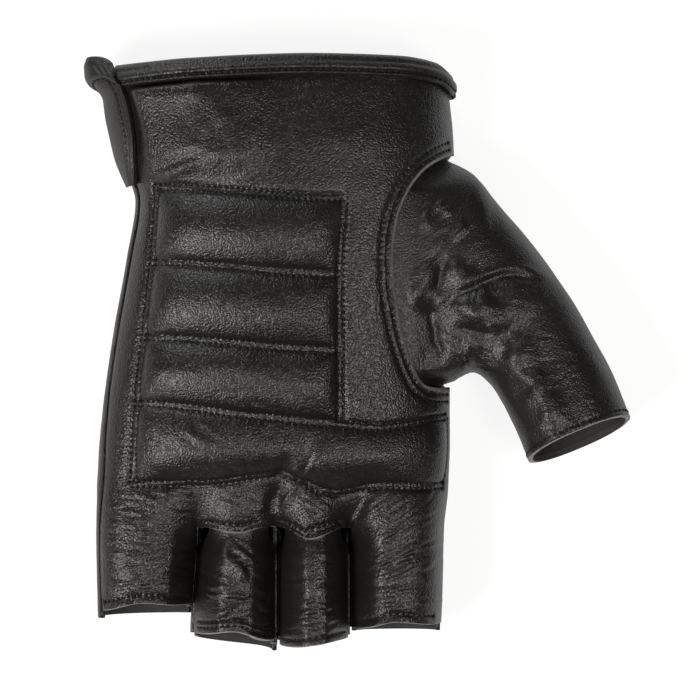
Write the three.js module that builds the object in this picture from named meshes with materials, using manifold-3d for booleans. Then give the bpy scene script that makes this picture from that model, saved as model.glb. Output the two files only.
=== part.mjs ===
// Fingerless motorcycle glove for the left hand, lying on its back with the palm up.
// Millimetres. +X is the thumb side, +Y the cuff, +Z the palm. The glove rests on z = 0.
import * as THREE from 'three';
import Module from 'manifold-3d';
import { mergeVertices } from 'three/addons/utils/BufferGeometryUtils.js';

const wasm = await Module();
wasm.setup();

// Driving dimensions
const leather = 1.5;              // thickness of the leather
const gap = 0.3;                  // clearance between neighbouring pieces
const lap = 5;                    // how far a piece runs in under the palm's cut edge
const widest = 14.5;              // height of the hand's and fingers' widest line
const seamHeight = 22;            // height of the little-finger side seam
const crotch = -54;               // where the fingers part
const padRise = 2.3;              // height of the quilted pads
const bandRise = 1.9;             // height of the long band below the pads
const bindingDepth = 6.7;         // how far the cuff binding comes down from the edge
const bindingLeather = 1.2;       // thickness of the binding's leather
const edgeBelowTop = 2.6;         // from the top of the binding down to the leather's edge
const cuffLift = 2.15;            // how far the thick binding holds the cuff's back off the ground
const fingerInset = 0.12;         // how far a finger's front stays inside the finger's side
const rimTurn = 0.003;            // the back panel stops this far short of the palm's edge
const windowTurn = 0.1;           // how far the back panel's edge lies in under the thumb stall
const webBack = 2.4;              // how far behind the crotch the web between two fingers lies
const roundness = 0.88;           // below 1, the thumb stall's section is fuller than an ellipse

// The hand and, below the crotch, the outer sides of the little and index fingers.
// square is the exponent of the palm's arch: a larger one is a flatter palm.
const HAND = [
  { y: -92, ulnar: -78.8, radial: 25.6, top: 29, square: 3.6 },
  { y: -76, ulnar: -79.4, radial: 26.2, top: 29, square: 3.6 },
  { y: -54, ulnar: -79.7, radial: 26.8, top: 30, square: 3.6 },
  { y: -42, ulnar: -79.5, radial: 28.1, top: 32, square: 3.3 },
  { y: -30, ulnar: -78.9, radial: 28.5, top: 34.5, square: 3.0 },
  { y: -12, ulnar: -77.1, radial: 28.5, top: 36.5, square: 2.8 },
  { y: 6, ulnar: -74.4, radial: 28.9, top: 37.5, square: 2.6 },
  { y: 30, ulnar: -70.1, radial: 29.7, top: 38.5, square: 2.6 },
  { y: 46, ulnar: -67.7, radial: 30.3, top: 38.5, square: 2.6 },
  { y: 60, ulnar: -72.6, radial: 30.0, top: 38, square: 2.6 },
  { y: 76, ulnar: -75.8, radial: 28.6, top: 36, square: 2.5 },
  { y: 92, ulnar: -77.4, radial: 27.6, top: 34, square: 2.5 },
];

// Each finger's sides at the crotch and at the tip, its height, how far its back is lifted
// at the tip, and the y of its hem: at two edges and the middle in front, two edges behind.
const FINGERS = {
  little: {
    left: -79.7, leftTip: -79.2, right: -48.4, rightTip: -50.8, top: 29, topTip: 28.5, lift: 2,
    hemLeft: -78.8, hemMiddle: -76.2, hemRight: -77.2, backLeft: -81.0, backRight: -80.4,
  },
  ring: {
    left: -48.1, leftTip: -50.5, right: -24.4, rightTip: -24.4, top: 29, topTip: 28, lift: 1,
    hemLeft: -86.2, hemMiddle: -85.0, hemRight: -88.4, backLeft: -87.6, backRight: -92.2,
  },
  middle: {
    left: -24.1, leftTip: -24.1, right: -2.1, rightTip: -2.0, top: 30, topTip: 30, lift: 1,
    hemLeft: -90.0, hemMiddle: -89.0, hemRight: -87.8, backLeft: -87.4, backRight: -86.6,
  },
  index: {
    left: -1.8, leftTip: -1.7, right: 26.8, rightTip: 26.0, top: 31, topTip: 30.5, lift: 2,
    hemLeft: -84.4, hemMiddle: -81.8, hemRight: -82.9, backLeft: -86.0, backRight: -85.2,
  },
};

// Lines across the palm, as places x, y. The quilting is sewn along those from the pads' top
// to the band's bottom; the last one is the cut edge over the ring and middle fingers.
// rows is how many rows of faces lie between a line and the next.
const PALM_LINES = {
  cuff: { rows: 2, places: [[-78, 86.9], [-49, 88.7], [-13, 90.0], [14, 89.5], [24, 88.0], [30, 84.2]] },
  binding: { rows: 4, places: [[-78, 80.2], [-49, 82.0], [-13, 83.3], [14, 82.8], [24, 81.3], [30, 77.5]] },
  padTop: { rows: 3, places: [[-61, 49.7], [-4, 46.4]] },
  firstQuilt: { rows: 4, places: [[-62, 27.1], [-5, 23.5]] },
  secondQuilt: { rows: 4, places: [[-64.6, 4.5], [-4.7, 0.6]] },
  bandTop: { rows: 4, places: [[-66.7, -15.4], [-33, -18.9], [-4.7, -21.7], [7, -22.6], [27, -19.9]] },
  bandBottom: {
    rows: 4,
    places: [[-68, -40.0], [-46, -39.6], [-23, -37.2], [-6.5, -42.7], [7, -40.4], [27, -40.6]],
  },
  cutEdge: {
    rows: 0,
    places: [[-49, -53.6], [-36, -55.1], [-26, -53.3], [-14, -56.9], [-2, -53.6], [10, -53.6]],
  },
};
// Rows down the quilting's two upright lines, as x for a y
const PAD_LEFT = [[-40, -67.9], [-15.4, -66.7], [4.5, -64.6], [27.1, -62.2], [49.7, -60.7]];
const PAD_RIGHT = [[-21.7, -4.6], [0.6, -4.7], [23.5, -4.8], [46.4, -3.5]];

// The cut edge of the thumb hole, from the wrist end to the crotch of the thumb
const THUMB_HOLE = [
  [31.5, 60.8], [21, 54.6], [13.8, 43], [11.6, 27], [13.3, 12], [16.9, -1.5], [21.5, -9.8], [30, -10.9],
];

// The thumb stall from the hand to its hem: the outer side, the inner side, its middle height,
// half its depth, and how far the palm-side edge of the section lies back from the back's.
const THUMB = [
  { outerX: 35.8, outerY: 54.2, innerX: 30.0, innerY: -8.8, middle: 16.6, depth: 15.9, slant: 0 },
  { outerX: 43.8, outerY: 44.5, innerX: 32.0, innerY: -7.6, middle: 17.0, depth: 15.8, slant: 0 },
  { outerX: 53.5, outerY: 33.2, innerX: 34.8, innerY: -6.4, middle: 17.2, depth: 15.2, slant: 0.5 },
  { outerX: 63.9, outerY: 18.9, innerX: 38.2, innerY: -7.4, middle: 18.0, depth: 14.6, slant: 1 },
  { outerX: 71.8, outerY: 5.2, innerX: 43.0, innerY: -12.8, middle: 19.4, depth: 14.0, slant: 2 },
  { outerX: 78.2, outerY: -7.0, innerX: 47.7, innerY: -21.8, middle: 21.0, depth: 13.6, slant: 2.7 },
  { outerX: 83.3, outerY: -20.1, innerX: 52.3, innerY: -33.2, middle: 22.6, depth: 13.2, slant: 3.3 },
];

// Folds pressed into the leather: a groove from one place to another, and its width and depth
const PALM_FOLDS = [
  { fromX: -10, fromY: -22, toX: -21, toY: -44, width: 2.6, depth: 0.9 },
  { fromX: -22, fromY: -43, toX: -24.3, toY: -54, width: 2.0, depth: 1.6 },
  { fromX: -66, fromY: 49, toX: -30, toY: 53, width: 5.0, depth: 1.0 },
];
const THUMB_FOLDS = [
  { fromX: 25, fromY: 14, toX: 36, toY: 20, width: 3.2, depth: 2.4 },
  { fromX: 36, fromY: 20, toX: 56, toY: 23, width: 3.6, depth: 1.6 },
  { fromX: 25, fromY: 24, toX: 22, toY: 2, width: 3.0, depth: 2.2 },
  { fromX: 33, fromY: 8, toX: 44, toY: 4, width: 3.0, depth: 1.5 },
  { fromX: 24, fromY: 6, toX: 30, toY: -4, width: 4.0, depth: 2.6 },
];
// Broad swellings of the palm: place, half-widths and height
const SWELLINGS = [
  { x: -36, y: 63, alongX: 26, alongY: 13, height: 1.4 },
  { x: -73, y: -62, alongX: 8, alongY: 12, height: 0.5 },
];

// The closure flap: the x of its edge on the palm for a y, its lower end, and where it meets
// the back panel under the hand
const FLAP_EDGE = [
  [52, -67.9], [58.6, -68.1], [64.4, -68.4], [70.5, -69.3], [77.2, -70.9], [83.3, -73.4], [89, -75.8],
];
const flapBottom = 52;
const flapRoot = -61;
const flapHem = 1.2;              // how far its turned hem stands out
const flapBead = 0.8;             // height of the bead along its edge
const flapFlare = 3.3;            // how far its upper end stands off the little-finger side

// The cuff's edge on the back, as places x, y
const CUFF_BACK = [[-78, 86.9], [-25, 85], [30, 84.2]];

// Mixing and curves
const mix = (a, b, t) => a + (b - a) * t;

function ease(from, to, value) {
  const t = Math.min(1, Math.max(0, (value - from) / (to - from)));
  return t * t * (3 - 2 * t);
}

// A smooth curve through places [at, value] that never swings past them
function through(places, at) {
  const last = places.length - 1;
  if (at <= places[0][0]) return places[0][1];
  if (at >= places[last][0]) return places[last][1];
  const slope = (k) => (places[k + 1][1] - places[k][1]) / (places[k + 1][0] - places[k][0]);
  const tangent = (k) => {
    if (k === 0 || k === last) return 0;
    const before = slope(k - 1);
    const after = slope(k);
    return before * after <= 0 ? 0 : (2 * before * after) / (before + after);
  };
  let k = 0;
  while (at > places[k + 1][0]) k += 1;
  const span = places[k + 1][0] - places[k][0];
  const t = (at - places[k][0]) / span;
  const ease0 = (1 + 2 * t) * (1 - t) ** 2;
  const ease1 = t * t * (3 - 2 * t);
  return ease0 * places[k][1] + t * (1 - t) ** 2 * span * tangent(k)
    + ease1 * places[k + 1][1] - t * t * (1 - t) * span * tangent(k + 1);
}

const handAt = (key, y) => through(HAND.map((row) => [row.y, row[key]]), y);

// The line through places x, y, by name
const lineY = (name, x) => through(PALM_LINES[name].places, x);

// A finger's sides, top and lift at a y
function finger(name, y) {
  const f = FINGERS[name];
  const t = ease(crotch + 6, -88, y);
  const left = name === 'little' ? handAt('ulnar', y) : mix(f.left, f.leftTip, t);
  const right = name === 'index' ? handAt('radial', y) : mix(f.right, f.rightTip, t);
  return { left, right, top: mix(f.top, f.topTip, t), lift: f.lift * t };
}

// The finger that a place belongs to: the last one whose left side, or the gap before it, is passed
function fingerAt(x, y) {
  const names = Object.keys(FINGERS);
  let name = names[0];
  for (let k = 1; k < names.length; k += 1) {
    if (x > (finger(names[k - 1], y).right + finger(names[k], y).left) / 2) name = names[k];
  }
  return name;
}

// An arch over a span: 1 at its middle, 0 with an upright side at its ends
function arch(x, left, right, square) {
  const q = Math.min(1, Math.abs((2 * x - left - right) / (right - left)));
  return (1 - q ** square) ** 0.45;
}

// Height of the front of the glove: the hand's arch, which parts into the fingers' arches
function frontHeight(x, y) {
  const handArch = arch(x, handAt('ulnar', y), handAt('radial', y), handAt('square', y));
  const hand = widest + (handAt('top', y) - widest) * handArch;
  const f = finger(fingerAt(x, y), y);
  const own = widest + (f.top - widest) * arch(x, f.left, f.right, 2.4);
  const drop = hand - own;
  const room = through([[crotch - 8, 60], [crotch, 11], [crotch + 10, 3.5], [crotch + 24, 0.01]], y);
  const web = drop > 0
    ? hand - room * (1 - Math.exp(-drop / room))
    : hand - drop * ease(crotch + 24, crotch, y);
  return mix(web, own, ease(crotch, crotch - 12, y));
}

// Height of the back of the glove: flat in the middle, curled up at its sides
function curl(x, left, right, flat, height) {
  const q = Math.min(1, Math.abs((2 * x - left - right) / (right - left)));
  const beyond = Math.max(0, (q - flat) / (1 - flat));
  return height * (1 - Math.sqrt(1 - beyond * beyond));
}

function backHeight(x, y) {
  const hand = curl(x, handAt('ulnar', y), handAt('radial', y), 0.66, widest);
  const name = fingerAt(x, y);
  const f = finger(name, y);
  const inner = curl(x, f.left, f.right, 0.45, 5);
  const leftHalf = x < (f.left + f.right) / 2;
  const outerSide = (name === 'little' && leftHalf) || (name === 'index' && !leftHalf);
  const own = outerSide ? hand : mix(hand, Math.max(hand, inner), ease(crotch, crotch - 10, y));
  const lift = f.lift + cuffLift * ease(64, 80, y);
  return own + lift * (1 - own / widest);
}

// A place on the outside of the hand. turn goes from 0 at the little-finger side over the
// palm to 0.5 at the thumb side, and under the back to 1.
function around(turn, y) {
  const left = handAt('ulnar', y);
  const right = handAt('radial', y);
  const x = (left + right) / 2 - (right - left) / 2 * Math.cos(2 * Math.PI * turn);
  const height = turn < 0 || turn > 0.5 ? backHeight(x, y) : frontHeight(x, y);
  return new THREE.Vector3(x, y, height);
}

// The turn at which the front or the back of the hand has an x
function turnAt(x, y, front) {
  const middle = (handAt('ulnar', y) + handAt('radial', y)) / 2;
  const half = (handAt('radial', y) - handAt('ulnar', y)) / 2;
  const turn = Math.acos((middle - x) / half) / (2 * Math.PI);
  return front ? turn : 1 - turn;
}

// The turn at which the little-finger side seam lies
function seamTurn(y) {
  let low = 0;
  let high = 0.2;
  for (let k = 0; k < 24; k += 1) {
    const middle = (low + high) / 2;
    if (around(middle, y).z < seamHeight) low = middle;
    else high = middle;
  }
  return low;
}

function groove(x, y, folds) {
  let depth = 0;
  for (const f of folds) {
    const alongX = f.toX - f.fromX;
    const alongY = f.toY - f.fromY;
    const t = ((x - f.fromX) * alongX + (y - f.fromY) * alongY) / (alongX ** 2 + alongY ** 2);
    const nearest = Math.min(1, Math.max(0, t));
    const away = Math.hypot(x - f.fromX - alongX * nearest, y - f.fromY - alongY * nearest);
    depth += f.depth * Math.exp(-((away / f.width) ** 2));
  }
  return depth;
}

// A round shoulder that rises from a seam, from 0 at the seam to 1 at reach from it
const shoulder = (away, reach) => Math.sqrt(1 - (1 - Math.min(1, Math.max(0, away / reach))) ** 2);

// How far the palm's leather stands out: quilted pads, the long band, swellings and folds
function palmRelief(x, y) {
  let rise = -groove(x, y, PALM_FOLDS);
  for (const s of SWELLINGS) {
    rise += s.height * Math.exp(-(((x - s.x) / s.alongX) ** 2) - ((y - s.y) / s.alongY) ** 2);
  }
  const fromLeft = x - through(PAD_LEFT, y);
  const fromRight = through(PAD_RIGHT, y) - x;
  const bounds = ['padTop', 'firstQuilt', 'secondQuilt', 'bandTop'];
  for (let k = 0; k < 3; k += 1) {
    const down = lineY(bounds[k], x) - y;
    const up = y - lineY(bounds[k + 1], x);
    const along = shoulder(fromLeft, 7) * shoulder(fromRight, 7);
    rise += padRise * along * shoulder(Math.min(down, up), 10.5);
  }
  const inBand = Math.min(lineY('bandTop', x) - y, y - lineY('bandBottom', x));
  rise += bandRise * shoulder(fromLeft, 7) * shoulder(handAt('radial', y) - x, 6) * shoulder(inBand, 9);
  return rise;
}

// A place on a surface moved along the surface's outward direction
function offset(surface, u, v, distance) {
  const step = 1e-3;
  const here = surface(u, v);
  const alongU = surface(u + step, v).sub(surface(u - step, v));
  const alongV = surface(u, v + step).sub(surface(u, v - step));
  const outward = alongV.cross(alongU).normalize();
  return here.addScaledVector(outward, distance);
}

// A closed sheet from two skins of places, outer[i][j] and inner[i][j]. Only the faces that
// keep(i, j) names are made, and round joins the last column to the first.
function sheet(outer, inner, keep = () => true, round = false) {
  const rows = outer.length - 1;
  const columns = round ? outer[0].length : outer[0].length - 1;
  const width = outer[0].length;
  const total = outer.length * width;
  const id = (i, j) => i * width + (j % width);
  const made = (i, j) => i >= 0 && i < rows && (round || (j >= 0 && j < columns))
    && keep(i, (j + columns) % columns);
  const faces = [];
  const quad = (a, b, c, d) => faces.push(a, b, c, a, c, d);
  for (let i = 0; i < rows; i += 1) {
    for (let j = 0; j < columns; j += 1) {
      if (!made(i, j)) continue;
      const a = id(i, j);
      const b = id(i, j + 1);
      const c = id(i + 1, j + 1);
      const d = id(i + 1, j);
      quad(a, d, c, b);
      quad(total + a, total + b, total + c, total + d);
      const wall = (p, q) => quad(q, p, total + p, total + q);
      if (!made(i, j - 1)) wall(a, d);
      if (!made(i + 1, j)) wall(d, c);
      if (!made(i, j + 1)) wall(c, b);
      if (!made(i - 1, j)) wall(b, a);
    }
  }
  const used = new Map();
  const positions = [];
  const places = [...outer.flat(), ...inner.flat()];
  const index = faces.map((k) => {
    if (!used.has(k)) {
      used.set(k, used.size);
      positions.push(places[k].x, places[k].y, places[k].z);
    }
    return used.get(k);
  });
  const geometry = new THREE.BufferGeometry();
  geometry.setAttribute('position', new THREE.Float32BufferAttribute(positions, 3));
  geometry.setIndex(index);
  return geometry;
}

// count + 1 even steps from one value to another
function spread(count, from = 0, to = 1) {
  return Array.from({ length: count + 1 }, (_, k) => mix(from, to, k / count));
}

// A manifold body from a geometry, and a geometry from a manifold body
function solid(geometry) {
  const plain = geometry.clone();
  plain.deleteAttribute('normal');
  plain.deleteAttribute('uv');
  const merged = mergeVertices(plain, 1e-4);
  return new wasm.Manifold(new wasm.Mesh({
    numProp: 3,
    vertProperties: new Float32Array(merged.attributes.position.array),
    triVerts: new Uint32Array(merged.index.array),
  }));
}

function fromSolid(body) {
  const mesh = body.getMesh();
  const geometry = new THREE.BufferGeometry();
  geometry.setAttribute('position', new THREE.Float32BufferAttribute(mesh.vertProperties, 3));
  geometry.setIndex(Array.from(mesh.triVerts));
  return geometry;
}

// Columns across the glove: each finger's own, with one narrow column between two fingers
const COLUMNS = ['little', 'ring', 'middle', 'index'].flatMap((name) => {
  const count = name === 'little' || name === 'index' ? 8 : 5;
  return spread(count).map((s) => ({ name, s }));
});

// The x of a palm column. Above the band the columns follow the pads, at the crotch each
// finger's are close together at its sides.
function columnX(column, y) {
  const left = handAt('ulnar', y);
  const right = handAt('radial', y);
  const seam = around(seamTurn(y), y).x;
  const padLeft = through(PAD_LEFT, y);
  const padRight = through(PAD_RIGHT, y);
  const third = (padRight - padLeft) / 3;
  const { name, s } = column;
  const f = finger(name, y);
  const cosine = (1 - Math.cos(Math.PI * s)) / 2;
  const besidePads = 0.375;
  const starts = {
    little: s < besidePads
      ? mix(seam, padLeft, s / besidePads)
      : mix(padLeft, padLeft + third - 1, (s - besidePads) / (1 - besidePads)),
    ring: mix(padLeft + third, padLeft + 2 * third - 1, s),
    middle: mix(padLeft + 2 * third, padRight - 1, s),
    index: mix(padRight, right, Math.sin(Math.PI / 2 * s)),
  };
  const ends = {
    little: mix(seam, f.right - fingerInset, s < 0.5 ? s : mix(s, cosine, 0.8)),
    ring: mix(f.left + fingerInset, f.right - fingerInset, cosine),
    middle: mix(f.left + fingerInset, f.right - fingerInset, cosine),
    index: mix(f.left + fingerInset, right, cosine),
  };
  const x = mix(starts[name], ends[name], ease(-30, crotch + 2, y));
  return Math.min(right, Math.max(left, x));
}

// The y of a hem on the palm side of a finger, whose width is taken at a y near the hem
const hemLevel = -80;
function hemFront(name, x, y) {
  const f = FINGERS[name];
  const { left, right } = finger(name, y);
  return through([[left, f.hemLeft], [(left + right) / 2, f.hemMiddle], [right, f.hemRight]], x);
}

// Palm: rows between the named lines, then the rows down the little and index fingers
function palmRows() {
  const names = Object.keys(PALM_LINES);
  const rows = [];
  for (let k = 0; k + 1 < names.length; k += 1) {
    const { rows: count } = PALM_LINES[names[k]];
    for (let r = 0; r < count; r += 1) rows.push({ above: names[k], below: names[k + 1], t: r / count });
  }
  rows.push({ above: 'cutEdge', below: 'cutEdge', t: 0 });
  const fingerRows = 6;
  for (let r = 1; r <= fingerRows; r += 1) rows.push({ hem: r / fingerRows });
  return rows;
}

function rowY(row, column, x) {
  const lineAt = (name) => lineY(name, x) - (name === 'cuff' ? edgeBelowTop : 0);
  if (row.hem === undefined) return mix(lineAt(row.above), lineAt(row.below), row.t);
  return mix(lineY('cutEdge', x), hemFront(column.name, x, hemLevel), row.hem);
}

function palmPlace(row, column) {
  let y = rowY(row, column, column.name === 'index' ? 10 : -60);
  let x = 0;
  for (let pass = 0; pass < 3; pass += 1) {
    x = columnX(column, y);
    y = rowY(row, column, x);
  }
  return [x, y];
}

const frontSurface = (x, v) => new THREE.Vector3(x, -v, frontHeight(x, -v));

// The outward direction of the front, kept level where the leather stands upright
function frontOffset(x, y, distance) {
  const left = handAt('ulnar', y);
  const right = handAt('radial', y);
  const step = 0.02;
  const inside = Math.min(right - 2 * step, Math.max(left + 2 * step, x));
  const place = frontSurface(x, -y);
  const nearby = offset(frontSurface, inside, -y, 1).sub(frontSurface(inside, -y));
  return place.addScaledVector(nearby, distance);
}

function palmPanel() {
  const rows = palmRows();
  const outer = [];
  const inner = [];
  for (const row of rows) {
    const places = COLUMNS.map((column) => palmPlace(row, column));
    outer.push(places.map(([x, y]) => frontOffset(x, y, palmRelief(x, y))));
    inner.push(places.map(([x, y]) => frontOffset(x, y, -leather)));
  }
  const firstFingerRow = rows.findIndex((row) => row.hem !== undefined) - 1;
  const keep = (i, j) => {
    if (i < firstFingerRow) return true;
    const [a, b] = [COLUMNS[j].name, COLUMNS[j + 1].name];
    return a === b && (a === 'little' || a === 'index');
  };
  const whole = solid(sheet(outer, inner, keep));
  return fromSolid(whole.subtract(solid(thumbHoleCutter())));
}

// The edge of the thumb hole seen from above, and the upright prism that cuts the hole
const holeEdge = new THREE.CatmullRomCurve3(
  THUMB_HOLE.map(([x, y]) => new THREE.Vector3(x, y, 0)), false, 'centripetal');

function thumbHoleCutter() {
  const beyond = 60;
  const depth = 80;
  const shape = new THREE.Shape();
  shape.moveTo(beyond, THUMB_HOLE[0][1]);
  for (const place of holeEdge.getPoints(24)) shape.lineTo(place.x, place.y);
  shape.lineTo(beyond, THUMB_HOLE[THUMB_HOLE.length - 1][1]);
  shape.closePath();
  const cutter = new THREE.ExtrudeGeometry(shape, { depth, bevelEnabled: false });
  cutter.translate(0, 0, -depth / 8);
  return cutter;
}

// The top of the cuff for a turn round the hand, and the edge of the leather inside it
function cuffTop(turn) {
  const { x } = around(turn, 84);
  return turn < 0 || turn > 0.5 ? through(CUFF_BACK, x) : lineY('cuff', x);
}

const leatherEdge = (turn) => cuffTop(turn) - edgeBelowTop;

// The turn of the back panel's edge on the thumb side
function radialTurn(y) {
  return 0.5 + rimTurn + windowTurn * ease(-15, -3, y) * (1 - ease(52, 64, y));
}

// Back panel: columns from the thumb side under the hand, then up to the little-finger seam
function backColumns() {
  const columns = [];
  for (const name of ['index', 'middle', 'ring', 'little']) {
    const count = name === 'index' || name === 'little' ? 6 : 4;
    for (const s of spread(count, 1, 0)) columns.push({ name, s });
  }
  for (const rise of [1 / 3, 2 / 3, 1]) columns.push({ name: 'little', s: 0, rise });
  return columns;
}

function backPlace(column, rank, rootRank, y) {
  const middle = (handAt('ulnar', y) + handAt('radial', y)) / 2;
  const half = (handAt('radial', y) - handAt('ulnar', y)) / 2;
  const seam = seamTurn(y) - 0.6 * gap / half;
  if (column.rise !== undefined) return around(seam * column.rise, y);
  const rootTurn = turnAt(flapRoot, y, false);
  const turn = rank <= rootRank
    ? mix(radialTurn(y), rootTurn, rank / rootRank)
    : mix(rootTurn, 1, 2 * (0.5 - column.s));
  const start = middle - half * Math.cos(2 * Math.PI * turn);
  const f = finger(column.name, y);
  const cosine = (1 - Math.cos(Math.PI * column.s)) / 2;
  const low = column.name === 'little' ? f.left : f.left + fingerInset;
  const rim = half * (1 - Math.cos(2 * Math.PI * rimTurn));
  const high = f.right - (column.name === 'index' ? rim : fingerInset);
  const x = mix(start, mix(low, high, cosine), ease(-26, crotch + 2, y));
  return new THREE.Vector3(x, y, backHeight(x, y));
}

const hemBack = ({ name, s }) => mix(FINGERS[name].backLeft, FINGERS[name].backRight, s);

function backPanel() {
  const columns = backColumns();
  const rootRank = columns.findIndex((column) => column.name === 'little' && column.s === 0.5);
  const notch = flapBottom - gap;
  const cuffRows = 3;
  const handRows = 13;
  const fingerRows = 4;
  const rows = [
    ...spread(cuffRows).map((t) => (turn) => mix(leatherEdge(turn), notch, t)),
    ...spread(handRows).slice(1).map((t) => () => mix(notch, crotch, t)),
    ...spread(fingerRows).slice(1).map((t) => (turn, column) => mix(crotch, hemBack(column), t)),
  ];
  const outer = [];
  const inner = [];
  for (const row of rows) {
    const outerRow = columns.map((column, rank) => {
      const turn = mix(0.5, 1, Math.min(1, rank / columns.length));
      return backPlace(column, rank, rootRank, row(turn, column));
    });
    outer.push(outerRow);
    inner.push(outerRow.map((place, rank) => place.clone().add(backInward(place, columns[rank]))));
  }
  // Beside the flap's root the panel ends at a notch, which the flap fills
  const keep = (i, j) => {
    if (i < cuffRows) return j < rootRank;
    if (i < cuffRows + handRows) return true;
    return columns[j].name === columns[j + 1].name;
  };
  return sheet(outer, inner, keep);
}

// The step from the back's outer face to its inner face, square to the leather
function backInward(place, column) {
  const { y } = place;
  const step = 0.05;
  const left = handAt('ulnar', y);
  const right = handAt('radial', y);
  if (column.rise !== undefined) {
    const beside = Math.max(place.x, left + gap);
    const inward = new THREE.Vector3(1, 0, 0);
    const lean = frontOffset(beside, y, -1).sub(frontOffset(beside, y, 0));
    return inward.lerp(lean, column.rise).normalize().multiplyScalar(leather);
  }
  const x = Math.min(right - 2 * step, Math.max(left + 2 * step, place.x));
  const slope = (backHeight(x + step, y) - backHeight(x - step, y)) / (2 * step);
  return new THREE.Vector3(-slope, 0, 1).normalize().multiplyScalar(leather);
}

// Fronts of the ring and middle fingers, which come out from under the palm's cut edge
function fingerFront(name) {
  const rows = 7;
  const lapInset = 3.2;           // under the palm the piece is narrower by this at each side
  const outer = [];
  const inner = [];
  for (const down of spread(rows)) {
    const outerRow = [];
    const innerRow = [];
    for (const s of spread(9)) {
      let y = hemLevel;
      let x = 0;
      for (let pass = 0; pass < 3; pass += 1) {
        const f = finger(name, y);
        const inset = mix(fingerInset, lapInset, ease(crotch - 8, crotch + 2, y));
        x = mix(f.left + inset, f.right - inset, (1 - Math.cos(Math.PI * s)) / 2);
        y = mix(lineY('cutEdge', x) + lap, hemFront(name, x, y), down);
      }
      const below = mix(0.4, leather + 2 * gap, ease(crotch - 9, crotch - 1, y));
      outerRow.push(frontOffset(x, y, -below));
      innerRow.push(frontOffset(x, y, -below - leather));
    }
    outer.push(outerRow);
    inner.push(innerRow);
  }
  return sheet(outer, inner);
}

// The strip between two fingers: a wall down one finger, the web at the crotch, and the other
// finger's wall. Its upper and lower edges follow the fronts and the backs.
function fourchette(first, second) {
  const steps = 5;
  const levels = 4;
  const stops = [
    ...spread(steps).map((t) => ({ name: first, side: 'Right', t })),
    null,
    ...spread(steps, 1, 0).map((t) => ({ name: second, side: 'Left', t })),
  ];
  const outer = [];
  const inner = [];
  for (const level of spread(levels)) {
    const places = stops.map((stop) => (stop ? wallPlace(stop, level) : webPlace(first, second, level)));
    outer.push(places.map((place) => place.outer));
    inner.push(places.map((place) => place.inner));
  }
  return sheet(outer, inner);
}

// The strip's edges at the crotch: its height under the fronts and over the backs
const stripTop = 17.2;
const stripBottom = 2.1;

// The middle of the web, at a level from 0 at the front to 1 at the back
function webPlace(first, second, level) {
  const x = (finger(first, crotch).right + finger(second, crotch).left) / 2;
  const z = mix(stripTop, stripBottom, level);
  return {
    outer: new THREE.Vector3(x, crotch + webBack, z),
    inner: new THREE.Vector3(x, crotch + webBack + leather, z),
  };
}

// A place on the wall of a finger, from t 0 at the finger's end to 1 beside the web
function wallPlace({ name, side, t }, level) {
  const root = crotch + 2;
  const frontHem = FINGERS[name][`hem${side}`];
  const backHem = FINGERS[name][`back${side}`];
  const guess = mix(frontHem, root, t);
  const upper = through([[-90, 16.2], [-62, 16.3], [crotch, stripTop]], guess);
  const lowest = 5 + finger(name, guess).lift;
  const lower = mix(stripBottom, lowest, ease(crotch + 1, crotch - 9, guess));
  const z = mix(upper, lower, level);
  const y = mix(mix(backHem, frontHem, z / 20), root, t);
  const f = finger(name, y);
  const x = side === 'Right' ? f.right : f.left;
  const away = side === 'Right' ? -1 : 1;
  const turnIn = t === 1 ? leather / 2 : 0;
  return {
    outer: new THREE.Vector3(x, y, z),
    inner: new THREE.Vector3(x + away * leather, y + turnIn, z),
  };
}

// A closed ring of the thumb stall: from the inner side over the palm side to the outer side
// and back underneath
function thumbRing(station, u) {
  const angle = 2 * Math.PI * u;
  const fuller = (value) => Math.sign(value) * Math.abs(value) ** roundness;
  const across = -fuller(Math.cos(angle));
  const up = fuller(Math.sin(angle));
  const halfX = (station.outerX - station.innerX) / 2;
  const halfY = (station.outerY - station.innerY) / 2;
  const span = Math.hypot(halfX, halfY);
  const alongX = halfY / span;
  const alongY = -halfX / span;
  return new THREE.Vector3(
    station.innerX + halfX * (1 + across) - alongX * station.slant * up,
    station.innerY + halfY * (1 + across) - alongY * station.slant * up,
    station.middle + station.depth * up,
  );
}

// A ring inside the hand: in under the thumb hole's edge, and over the back panel's edge. under
// is 1 for the ring that is further in and 0 for the other.
function thumbRoot(u, under) {
  const top = new THREE.Vector3(mix(28, 26, under), mix(59, 60.5, under), widest);
  const bottom = new THREE.Vector3(mix(27, 24.5, under), mix(-10, -11, under), widest);
  const reach = mix(-1.5, lap, under);
  if (u < 0.5) {
    const t = 1 - u / 0.5;
    const place = holeEdge.getPoint(mix(0.08, 0.92, t));
    const along = holeEdge.getTangent(mix(0.08, 0.92, t));
    place.x = Math.min(top.x, place.x + reach * along.y);
    place.y -= reach * along.x;
    const onHand = frontOffset(place.x, place.y, -(leather + 2 * gap));
    const ends = Math.min(1, Math.sin(Math.PI * t) * 2.2);
    return (t > 0.5 ? bottom : top).clone().lerp(onHand, ends);
  }
  const t = (u - 0.5) / 0.5;
  const y = mix(top.y, bottom.y, t);
  const down = Math.min(1, Math.sin(Math.PI * t) * 1.6);
  const x = mix(top.x - 1, mix(22, 17, under), down);
  return new THREE.Vector3(x, y, mix(widest, leather + 5 * gap, down));
}

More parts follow.
